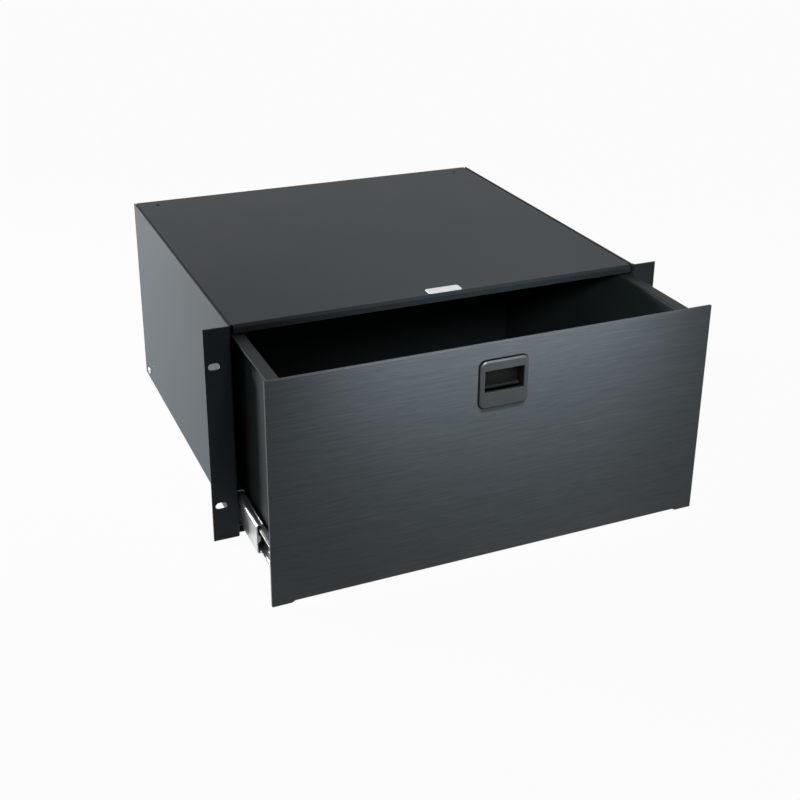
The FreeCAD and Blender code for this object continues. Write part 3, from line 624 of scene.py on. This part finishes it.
def turned_rings(profile: Grid, sides: int) -> Grid:
    """Rings of a profile turned about the z axis.

    A profile point (r, h) gives the ring (r cos t, r sin t, h) for t round a
    full turn.

    Args:
        profile: radius and height, one row a ring.
        sides: points to a ring.

    Returns:
        Points by ring, place in the ring and coordinate.
    """
    turn = np.linspace(0, FULL_TURN, sides, endpoint=False)
    radius, height = profile[:, :1], profile[:, 1:]
    across, up = radius * np.cos(turn), radius * np.sin(turn)
    return np.stack((across, up, np.broadcast_to(height, across.shape)), -1)


def placed(points: Grid, origin: Grid, direction: Grid) -> Grid:
    """Turns points from along z to along a direction, then moves them to an origin."""
    turn = Vector((0, 0, 1)).rotation_difference(Vector(direction)).to_matrix()
    return points @ np.array(turn).T + np.asarray(origin)


def outward(piece: bpy.types.Object) -> bpy.types.Object:
    """Merges a mesh's doubles and turns its faces outwards.

    Args:
        piece: the object, whose mesh is changed.

    Returns:
        The same object.
    """
    shape = bmesh.new()
    shape.from_mesh(piece.data)
    bmesh.ops.remove_doubles(shape, verts=shape.verts, dist=SKIN_MERGE)
    bmesh.ops.recalc_face_normals(shape, faces=shape.faces)
    shape.to_mesh(piece.data)
    shape.free()
    piece.data.set_sharp_from_angle(angle=SMOOTH_UP_TO)
    return piece


def joined_meshes(name: str, parts: Iterable[Skin]) -> bpy.types.Object:
    """One object from several separate skins.

    Args:
        name: the piece's name.
        parts: points and faces of each skin.

    Returns:
        The object, with its faces turned outwards.
    """
    points, faces, start = [], [], 0
    for skin_points, skin_faces in parts:
        points.append(skin_points)
        faces.extend([start + corner for corner in face] for face in skin_faces)
        start += len(skin_points)
    return outward(mesh_object(name, np.concatenate(points), faces))


def islands(node: str) -> list[tuple[Grid, Grid]]:
    """The lowest and highest corners of each separate solid in a CAD node.

    Args:
        node: the node's name.

    Returns:
        One pair of corners for each solid, ordered by y, then z, then x.
    """
    shape = bmesh.new()
    shape.from_mesh(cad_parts[node].data)
    bmesh.ops.remove_doubles(shape, verts=shape.verts, dist=CAD_MERGE)
    waiting, found = set(shape.verts), []
    while waiting:
        edge, members = [waiting.pop()], []
        while edge:
            point = edge.pop()
            members.append(tuple(point.co))
            fresh = {link.other_vert(point) for link in point.link_edges} & waiting
            waiting -= fresh
            edge.extend(fresh)
        cloud = np.array(members)
        found.append((cloud.min(0), cloud.max(0)))
    shape.free()
    return sorted(found, key=lambda pair: tuple(np.round(sum(pair)[[1, 2, 0]], decimals=5)))


def softened(node: str, width: float, segments: int = 2) -> bpy.types.Object:
    """A copy of a CAD node with its sharp edges rounded, which stands for it.

    Args:
        node: the node's name.
        width: how far the rounding reaches from each edge.
        segments: the faces across each rounding.

    Returns:
        The copy.
    """
    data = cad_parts[node].data.copy()
    shape = bmesh.new()
    shape.from_mesh(data)
    bmesh.ops.remove_doubles(shape, verts=shape.verts, dist=CAD_MERGE)
    bmesh.ops.dissolve_limit(
        shape, angle_limit=COPLANAR_WITHIN, verts=shape.verts, edges=shape.edges
    )
    shape.to_mesh(data)
    shape.free()
    data.materials.clear()
    piece = linked(f"{node}_skin", data)
    data.attributes.remove(data.attributes["sharp_edge"])
    bevel = piece.modifiers.new("edge_round", "BEVEL")
    bevel.width = width
    bevel.segments = segments
    bevel.limit_method = "ANGLE"
    bevel.angle_limit = BEVEL_FROM
    weight = piece.modifiers.new("flat_faces", "WEIGHTED_NORMAL")
    weight.weight = FACE_WEIGHT
    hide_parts(node)
    return piece


def dressed(piece: bpy.types.Object, material: bpy.types.Material) -> bpy.types.Object:
    """Gives a piece one material.

    Args:
        piece: the piece.
        material: its finish.

    Returns:
        The same piece.
    """
    piece.data.materials.clear()
    piece.data.materials.append(material)
    return piece


def dress_node(node: str, material: bpy.types.Material) -> None:
    """Puts a material in every slot of a CAD node.

    Args:
        node: the node's name.
        material: its finish.
    """
    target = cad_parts[node]
    for slot in target.material_slots:
        slot.material = material
    log.info("dressed %s with %s", node, material.name)


def added(
    piece: bpy.types.Object, material: bpy.types.Material, body: str
) -> bpy.types.Object:
    """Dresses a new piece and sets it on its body.

    Args:
        piece: the new piece.
        material: its finish.
        body: the CAD body that it moves with.

    Returns:
        The piece.
    """
    dressed(piece, material)
    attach(piece, body)
    log.info("added %s on %s", piece.name, body)
    return piece


def soften_node(
    node: str, material: bpy.types.Material, body: str, width: float
) -> None:
    """Replaces a CAD node by its copy with rounded edges, dressed and riding with it.

    Args:
        node: the node's name.
        material: its finish.
        body: the CAD body that it moves with.
        width: how far the rounding reaches from each edge.
    """
    dress_node(node, material)
    added(softened(node, width), material, body)


# ---------------------------------------------------------------- hardware


@dataclass(frozen=True)
class PanScrew:
    """A pan-head screw's head with a cross recess, and its plain end behind.

    The shares are of the head's radius, but the rim's is of the head's height.
    """

    head_radius: float
    height_share: float = 0.55
    shank_share: float = 0.5
    sides: int = 32
    rim_share: float = 0.62
    rim_rings: int = 5
    crown_rings: int = 14
    crown_hole: float = 0.03
    recess_share: float = 0.56
    recess_width: float = 1.1 * MM
    recess_depth: float = 1.4 * MM

    @property
    def head_height(self) -> float:
        """The height of the head above its seat."""
        return self.head_radius * self.height_share

    def skin(self, base: Grid, direction: Grid, shank: float) -> Skin:
        """The head and shank as one turned skin, its crown sunk where the cross lies.

        The profile runs along the shank, out over the seat, up the wall, round
        a quarter circle and in over the level crown to a small middle face. A
        point of the crown is pressed in by the recess depth where it lies
        within half the recess width of the middle line of either arm.

        Args:
            base: the middle of the head's seat.
            direction: the unit vector from the seat to the crown.
            shank: the length behind the seat.

        Returns:
            The points and the faces.
        """
        turn = np.linspace(QUARTER_TURN, 0, self.rim_rings)
        rim = self.head_height * self.rim_share
        shank_radius = self.head_radius * self.shank_share
        side = np.array([(shank_radius, -shank), (shank_radius, 0.0)])
        wall = np.array([(self.head_radius, 0.0), (self.head_radius, self.head_height - rim)])
        round_off = np.stack(
            (
                self.head_radius - rim * (1 - np.sin(turn)),
                self.head_height - rim * (1 - np.cos(turn)),
            ),
            -1,
        )[1:]
        inner = round_off[-1, 0]
        radii = np.linspace(inner, inner * self.crown_hole, self.crown_rings)[1:]
        crown = np.stack((radii, np.full_like(radii, self.head_height)), -1)
        rings = turned_rings(np.concatenate((side, wall, round_off, crown)), self.sides)
        top = rings[..., 2] > self.head_height - LEVEL_WITHIN
        across = np.abs(rings[..., :2])
        reach, offset = across.max(-1), across.min(-1)
        arm = (offset < self.recess_width / 2) & (reach < self.head_radius * self.recess_share)
        rings[..., 2] -= np.where(top & arm, self.recess_depth, 0.0)
        points, faces = tube_surface(rings)
        return placed(points, base, direction), faces


def cross_screws(node: str, material: bpy.types.Material, body: str) -> None:
    """Replaces a node's plain screws by ones with a rounded head and a cross recess.

    The screws lie along x, their heads on the side away from the middle plane.

    Args:
        node: the CAD node that holds the screws.
        material: the screws' finish.
        body: the CAD body that they move with.
    """
    skins = []
    for low, high in islands(node):
        middle, half = (low + high) / 2, (high - low) / 2
        head_way = np.array([np.sign(middle[0]), 0.0, 0.0])
        screw = PanScrew(half[2])
        seat = middle + head_way * (half[0] - screw.head_height)
        skins.append(screw.skin(seat, head_way, 2 * half[0] - screw.head_height))
    piece = joined_meshes(f"{node}_cross", skins)
    added(piece, material, body)
    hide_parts(node)


def sphere_skin(centre: Grid, radius: float, sides: int = 16) -> Skin:
    """A sphere turned from the half circle (R cos t, R sin t), with small pole faces.

    Args:
        centre: its middle.
        radius: its radius.
        sides: points to a ring.

    Returns:
        The points and the faces.
    """
    lean = np.linspace(-1, 1, sides // 2 + 1) * POLE_LEAN
    profile = np.stack((radius * np.cos(lean), radius * np.sin(lean)), -1)
    points, faces = tube_surface(turned_rings(profile, sides))
    return points + np.asarray(centre), faces


def coil_rings(
    radius: float, wire: float, turns: float, rise: float, steps: int = 28, sides: int = 10
) -> Grid:
    """Rings of a round wire wound on a helix about the z axis.

    At turn t the wire's middle is (R cos t, R sin t, rise t / whole turn); its
    section is a circle across the helix, spanned by the outward vector and the
    vector square to it and to the wire.

    Args:
        radius: the helix's own radius, R.
        wire: the wire's radius.
        turns: how many turns.
        rise: the height from the first ring to the last.
        steps: rings in each turn.
        sides: points to a ring.

    Returns:
        Points by ring, place in the ring and coordinate.
    """
    turn = np.linspace(0, FULL_TURN * turns, round(steps * turns) + 1)[:, None]
    height = rise * turn / turn[-1]
    out = np.stack((np.cos(turn), np.sin(turn), np.zeros_like(turn)), -1)
    climb = rise / (FULL_TURN * turns)
    along = np.stack((-radius * np.sin(turn), radius * np.cos(turn), climb + 0 * turn), -1)
    along /= np.linalg.norm(along, axis=-1, keepdims=True)
    up = np.cross(out, along)
    around = np.linspace(0, FULL_TURN, sides, endpoint=False)[None, :, None]
    middle = radius * out + height[..., None] * np.array([0.0, 0.0, 1.0])
    return middle + wire * (np.cos(around) * out + np.sin(around) * up)


# ---------------------------------------------------------------- the drawer's parts


@dataclass
class Finishes:
    """Every finish of the drawer, made once.

    The latch's painted recess shade starts at the bezel's depth behind the housing's front.
    """

    bezel_depth: float = 1.6 * MM
    case_paint: bpy.types.Material = field(init=False)
    face_metal: bpy.types.Material = field(init=False)
    drawer_paint: bpy.types.Material = field(init=False)
    zinc: bpy.types.Material = field(init=False)
    balls: bpy.types.Material = field(init=False)
    screws: bpy.types.Material = field(init=False)
    latch: bpy.types.Material = field(init=False)
    paddle: bpy.types.Material = field(init=False)
    bezel_shadow: bpy.types.Material = field(init=False)
    bolt: bpy.types.Material = field(init=False)
    spring: bpy.types.Material = field(init=False)
    nylon: bpy.types.Material = field(init=False)
    badge: bpy.types.Material = field(init=False)

    def __post_init__(self) -> None:
        """Makes the materials."""
        self.case_paint = PowderCoat("case_paint", (0.026, 0.035, 0.041)).make()
        # The drawer's paint is the case's paint made darker: painted shade for its walls and
        # inside, kept from the light by the ears and case.
        self.drawer_paint = PowderCoat(
            "drawer_paint", (0.015, 0.021, 0.022), roughness=0.5
        ).make()
        self.face_metal = BrushedMetal("face_metal", (0.067, 0.079, 0.088)).make()
        self.zinc = PlatedSteel("zinc_steel", (0.64, 0.65, 0.66), roughness=0.38).make()
        self.balls = PlatedSteel(
            "ball_steel", (0.82, 0.82, 0.83), roughness=0.14, stain=0.08
        ).make()
        self.screws = PlatedSteel(
            "screw_steel", (0.78, 0.78, 0.79), roughness=0.22, stain=0.15
        ).make()
        self.latch = MouldedPlastic(
            "latch_plastic",
            (0.027, 0.032, 0.036),
            gloss=0.3,
            edge_wear_and_highlight=1.3,
            # Painted shade for the latch's recess, darker than the plastic itself.
            inner=(0.005, 0.006, 0.006),
            recess_shade_from=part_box("latch_housing")[0][1] + self.bezel_depth,
        ).make()
        # The paddle's edges are lightened sevenfold: partly wear, partly a painted highlight.
        self.paddle = MouldedPlastic(
            "paddle_plastic", (0.006, 0.007, 0.007), roughness=0.42, gloss=0.14, edge_wear_and_highlight=7.0
        ).make()
        # Painted shadow: a black ring laid round the bezel where its edge throws shade.
        self.bezel_shadow = MouldedPlastic(
            "painted_bezel_shadow", (0.003, 0.003, 0.003), roughness=0.8, texture=2500.0, gloss=0.1
        ).make()
        self.bolt = MouldedPlastic(
            "bolt_plastic", (0.015, 0.017, 0.018), roughness=0.5, gloss=0.2
        ).make()
        self.spring = PlatedSteel(
            "spring_steel", (0.6, 0.6, 0.61), roughness=0.25, stain=0.2, along=Axis.Z
        ).make()
        self.nylon = MouldedPlastic(
            "nylon",
            (0.72, 0.71, 0.66),
            roughness=0.4,
            texture=900.0,
            relief=0.04 * MM,
            scatter=0.15,
            edge_wear_and_highlight=1.1,
        ).make()
        self.badge = PlatedSteel(
            "badge_metal", (0.72, 0.73, 0.74), roughness=0.36, stain=0.12, along=Axis.X
        ).make()


@dataclass
class RackCase:
    """The fixed case: folded sides with ears, cover, back, brace, badge and screws."""

    finishes: Finishes
    edge: float = 0.35 * MM
    badge_edge: float = 0.25 * MM

    def build(self) -> None:
        """Rounds and dresses the case's sheets and badge, and sets its rear screws."""
        paint = self.finishes.case_paint
        for node in ("case_side_left", "case_side_right", "case_top", "case_back", "case_brace"):
            soften_node(node, paint, "case", self.edge)
        soften_node("badge_plate", self.finishes.badge, "case", self.badge_edge)
        dress_node("case_rear_nuts", self.finishes.screws)
        dress_node("case_rear_screws", self.finishes.screws)
        cross_screws("case_rear_screws", self.finishes.screws, "case")


@dataclass
class Slide:
    """One telescoping slide: three members, two ball cages, balls and fastenings."""

    finishes: Finishes
    side: str
    edge: float = 0.25 * MM
    bumper_edge: float = 0.6 * MM

    def build(self) -> None:
        """Rounds and dresses the members, and sets smooth balls, bumper and screws."""
        finish, side = self.finishes, self.side
        bodies = {"slide_outer": "case", "slide_middle": f"middle_{side}", "slide_inner": "drawer"}
        for node, body in bodies.items():
            soften_node(f"{node}_{side}", finish.zinc, body, self.edge)
        for node in ("outer_ball_cage", "inner_ball_cage"):
            dress_node(f"{node}_{side}", finish.zinc)
        bumper = f"slide_bumper_{side}"
        soften_node(bumper, finish.nylon, f"middle_{side}", self.bumper_edge)
        dress_node(f"slide_nuts_{side}", finish.screws)
        dress_node(f"slide_screws_{side}", finish.screws)
        cross_screws(f"slide_screws_{side}", finish.screws, "drawer")
        for row in ("outer", "inner"):
            self.smooth_balls(row)

    def smooth_balls(self, row: str) -> None:
        """Puts a round ball in the place of each faceted one of a cage.

        Args:
            row: which of the slide's two cages, outer or inner.
        """
        node = f"{row}_balls_{self.side}"
        skins = []
        for low, high in islands(node):
            skins.append(sphere_skin((low + high) / 2, (high - low).max() / 2))
        piece = joined_meshes(f"{node}_round", skins)
        added(piece, self.finishes.balls, f"{row}_cage_{self.side}")
        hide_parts(node)


@dataclass
class DrawerBox:
    """The sliding drawer: folded sides, floor, ends and the brushed face."""

    finishes: Finishes
    edge: float = 0.3 * MM
    face_edge: float = 0.2 * MM

    def build(self) -> None:
        """Rounds and dresses the drawer's sheets and face, and dresses its fastenings."""
        paint = self.finishes.drawer_paint
        for node in ("drawer_side_left", "drawer_side_right", "drawer_front", "drawer_back"):
            soften_node(node, paint, "drawer", self.edge)
        dress_node("drawer_floor", paint)
        metal = self.finishes.face_metal
        soften_node("face_plate", metal, "drawer", self.face_edge)
        dress_node("face_studs", self.finishes.screws)
        dress_node("face_nuts", self.finishes.screws)


@dataclass
class Latch:
    """The finger latch in the face: housing, paddle, pin, bolt and spring, and a painted shadow
    round the bezel.
    """

    finishes: Finishes
    edge: float = 0.4 * MM
    bolt_edge: float = 0.5 * MM
    wire: float = 0.34 * MM
    turns: float = 6.0
    corner: float = 6.0 * MM
    # The black ring round the bezel is a painted shadow of its edge; these size and place it.
    bezel_shadow_past: float = 1.0 * MM
    bezel_shadow_width: float = 1.9 * MM
    bezel_shadow_sheet: float = 0.3 * MM
    bezel_shadow_stray: float = 0.4 * MM
    bezel_shadow_gap: float = 0.015 * MM
    bezel_shadow_points: int = 32

    def build(self) -> None:
        """Rounds and dresses the moulded parts, winds the spring and lays a painted shadow round
        the bezel.
        """
        finish = self.finishes
        soften_node("latch_housing", finish.latch, "drawer", self.edge)
        soften_node("latch_paddle", finish.paddle, "latch_paddle", self.edge)
        soften_node("latch_bolt", finish.bolt, "latch_bolt", self.bolt_edge)
        dress_node("latch_pin", finish.screws)
        dress_node("latch_spring", finish.spring)
        self.wind_spring()
        self.lay_bezel_shadow()

    def lay_bezel_shadow(self) -> None:
        """Lays a flat black ring on the face, under the bezel's edge and just past it, as a
        painted shadow of the bezel.

        Each ring of points is a rounded rectangle: a corner's centre plus the
        corner's radius along each direction of its quarter turn. The rings
        follow a flat section, from its outer edge on the face round to it
        again. The ring strays a little towards -x and upwards, where the
        bezel's shadow falls.
        """
        low, high = (np.array(corner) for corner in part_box("latch_housing"))
        face_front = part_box("face_plate")[0][1]
        middle, half = (low + high) / 2, (high - low) / 2
        turn = (np.arange(self.bezel_shadow_points) + 0.5) * FULL_TURN / self.bezel_shadow_points
        way = np.stack((np.cos(turn), np.sin(turn)), -1)
        stray = np.array([-1, 1]) * self.bezel_shadow_stray
        rings = []
        for inward, proud in ((0, 0), (0, 1), (1, 1), (1, 0), (0, 0)):
            grow = self.bezel_shadow_past - inward * self.bezel_shadow_width
            radius = self.corner + grow
            centres = middle[[0, 2]] + np.sign(way) * (half[[0, 2]] + grow - radius)
            flat = centres + radius * way + stray
            depth = face_front - self.bezel_shadow_gap - self.bezel_shadow_sheet * proud
            rings.append(np.stack((flat[:, 0], np.full(len(turn), depth), flat[:, 1]), -1))
        faces = grid_faces(len(rings), len(turn), True).tolist()
        piece = joined_meshes("painted_bezel_shadow_ring", [(np.concatenate(rings), faces)])
        added(piece, self.finishes.bezel_shadow, "drawer")

    def wind_spring(self) -> None:
        """Winds a round wire in the place of the faceted spring.

        It is laid once where the faceted spring stands and set on no body, so it
        neither follows the bolt nor closes up.
        """
        low, high = (np.array(corner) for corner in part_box("latch_spring"))
        radius = (high - low)[0] / 2 - self.wire
        rise = (high - low)[2] - 2 * self.wire
        points, faces = tube_surface(coil_rings(radius, self.wire, self.turns, rise))
        middle = (low + high)[:2] / 2
        foot, top = (np.array([*middle, height]) for height in (low[2] + self.wire, high[2]))
        piece = joined_meshes("latch_spring_wire", [(points + foot, faces)])
        dressed(piece, self.finishes.spring)
        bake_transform(piece)
        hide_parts("latch_spring")
        log.info("added %s between drawer and latch_bolt", piece.name)


# ---------------------------------------------------------------- studio


def seen_ray(tree: bpy.types.NodeTree) -> bpy.types.NodeSocket:
    """1 for rays that look at, mirror or see through to a surface, and 0 for its light.

    Args:
        tree: the tree that gets the nodes.

    Returns:
        The socket.
    """
    path = tree.nodes.new("ShaderNodeLightPath")
    seen = path.outputs["Is Camera Ray"]
    for ray in ("Is Glossy Ray", "Is Transmission Ray"):
        either = tree.nodes.new("ShaderNodeMath")
        either.operation = "MAXIMUM"
        tree.links.new(seen, either.inputs[0])
        tree.links.new(path.outputs[ray], either.inputs[1])
        seen = either.outputs[0]
    return seen


@dataclass
class SoftBox:
    """A rectangular lamp that looks at a point.

    Its power is in watts and its spread in degrees.
    """

    name: str
    place: Point
    target: Point
    size: Span
    power: float
    spread: float

    def build(self) -> None:
        """Makes the lamp."""
        data = bpy.data.lights.new(self.name, "AREA")
        data.shape = "RECTANGLE"
        data.size, data.size_y = self.size
        data.energy = self.power
        data.spread = math.radians(self.spread)
        lamp = bpy.data.objects.new(self.name, data)
        bpy.context.scene.collection.objects.link(lamp)
        lamp.location = self.place
        lamp.visible_camera = False
        away = Vector(self.place) - Vector(self.target)
        lamp.rotation_euler = away.to_track_quat("Z", "Y").to_euler()


@dataclass
class Studio:
    """The floor, the light and the camera round the drawer.

    The lens is in millimetres and the camera's angles are in degrees.
    """

    lens: float = 56.3
    tilt: float = 22.38
    roll: float = 0.78
    azimuth: float = 24.19
    shift: Span = (-0.02, -0.11)
    offset: Point = (0.0261, 0.1868, 1.2984)
    floor_side: float = 40.0
    floor_gap: float = 0.5 * MM
    floor_tone: float = 0.6
    floor_roughness: float = 0.9
    floor_glow: float = 0.96
    ambient: float = 0.2

    def build(self) -> None:
        """Makes the camera, the floor, the lamps and the world."""
        self.make_camera()
        self.make_floor()
        self.make_world()
        boxes = (
            SoftBox(
                name="left_box",
                place=(-1.6, 1.5, 0.2),
                target=(-0.24, 0.4, -0.03),
                size=(0.8, 0.6),
                power=8.6,
                spread=46,
            ),
            SoftBox(
                name="face_box",
                place=(0.0, -0.27, 0.36),
                target=(0.0, -0.12, 0.11),
                size=(0.34, 0.03),
                power=0.3,
                spread=36,
            ),
            SoftBox(
                name="well_box",
                place=(-0.2, -0.55, 0.45),
                target=(0.1, 0.0, 0.08),
                size=(0.1, 0.1),
                power=0.22,
                spread=44,
            ),
        )
        for box in boxes:
            box.build()

    def make_camera(self) -> None:
        """Sets the camera from its azimuth, tilt, roll and offset.

        A row-frame point p, measured from the ears' foot, lies in camera axes
        at Rz(roll) Rx(tilt) B Rz(azimuth) p + offset, where B turns y away
        from the camera and z upwards; the camera is where that is zero.
        """
        swap = Matrix(((1, 0, 0), (0, 0, -1), (0, 1, 0)))
        turn = (
            Matrix.Rotation(math.radians(self.roll), 3, "Z")
            @ Matrix.Rotation(math.radians(self.tilt), 3, "X")
            @ swap
            @ Matrix.Rotation(math.radians(self.azimuth), 3, "Z")
        )
        back = turn.transposed()
        place = -(back @ Vector(self.offset))
        place.z += cad_bounds[0].z
        data = bpy.data.cameras.new("camera")
        data.lens = self.lens
        data.shift_x, data.shift_y = self.shift
        camera = bpy.data.objects.new("camera", data)
        bpy.context.scene.collection.objects.link(camera)
        facing = back @ Matrix.Diagonal((1, -1, -1))
        camera.matrix_world = Matrix.Translation(place) @ facing.to_4x4()
        bpy.context.scene.camera = camera

    def make_floor(self) -> None:
        """Lays the pale floor: white where it is seen, with a trace of the drawer's shadow."""
        half, low = self.floor_side / 2, cad_bounds[0].z - self.floor_gap
        corners = np.array(
            [(-half, -half, low), (half, -half, low), (half, half, low), (-half, half, low)]
        )
        floor = mesh_object("floor", corners, [(0, 1, 2, 3)])
        bench = Bench("floor_white")
        tone = opaque((self.floor_tone,) * 3)
        bench.shade(Base_Color=tone, Roughness=self.floor_roughness)
        matt = Reading(bench, bench.shader.outputs[0])
        glow = bench.node("ShaderNodeEmission", {}, {"Color": opaque((1, 1, 1)), "Strength": 1.0})
        share = Reading(bench, seen_ray(bench.tree)) * self.floor_glow
        blend = bench.node("ShaderNodeMixShader", {}, {0: share, 1: matt, 2: glow})
        bench.feed(bench.output.inputs["Surface"], blend)
        dressed(floor, bench.material)

    def make_world(self) -> None:
        """Gives a dim even world that looks white where it is seen or mirrored."""
        world = bpy.data.worlds.new("studio_world")
        bpy.context.scene.world = world
        world.use_nodes = True
        tree = world.node_tree
        tree.nodes.clear()
        dim, white = (tree.nodes.new("ShaderNodeBackground") for _ in range(2))
        for background, strength in ((dim, self.ambient), (white, 1.0)):
            background.inputs["Color"].default_value = opaque((1, 1, 1))
            background.inputs["Strength"].default_value = strength
        blend = tree.nodes.new("ShaderNodeMixShader")
        output = tree.nodes.new("ShaderNodeOutputWorld")
        tree.links.new(seen_ray(tree), blend.inputs[0])
        tree.links.new(dim.outputs[0], blend.inputs[1])
        tree.links.new(white.outputs[0], blend.inputs[2])
        tree.links.new(blend.outputs[0], output.inputs["Surface"])


def main() -> None:
    """Dresses each sub-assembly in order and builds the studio."""
    logging.basicConfig(level=logging.INFO, format="%(name)s: %(message)s")
    bpy.context.scene.view_settings.view_transform = "Standard"
    finishes = Finishes()
    RackCase(finishes).build()
    for side in SIDES:
        Slide(finishes, side).build()
    DrawerBox(finishes).build()
    Latch(finishes).build()
    Studio().build()


if __name__ == "__main__":
    main()
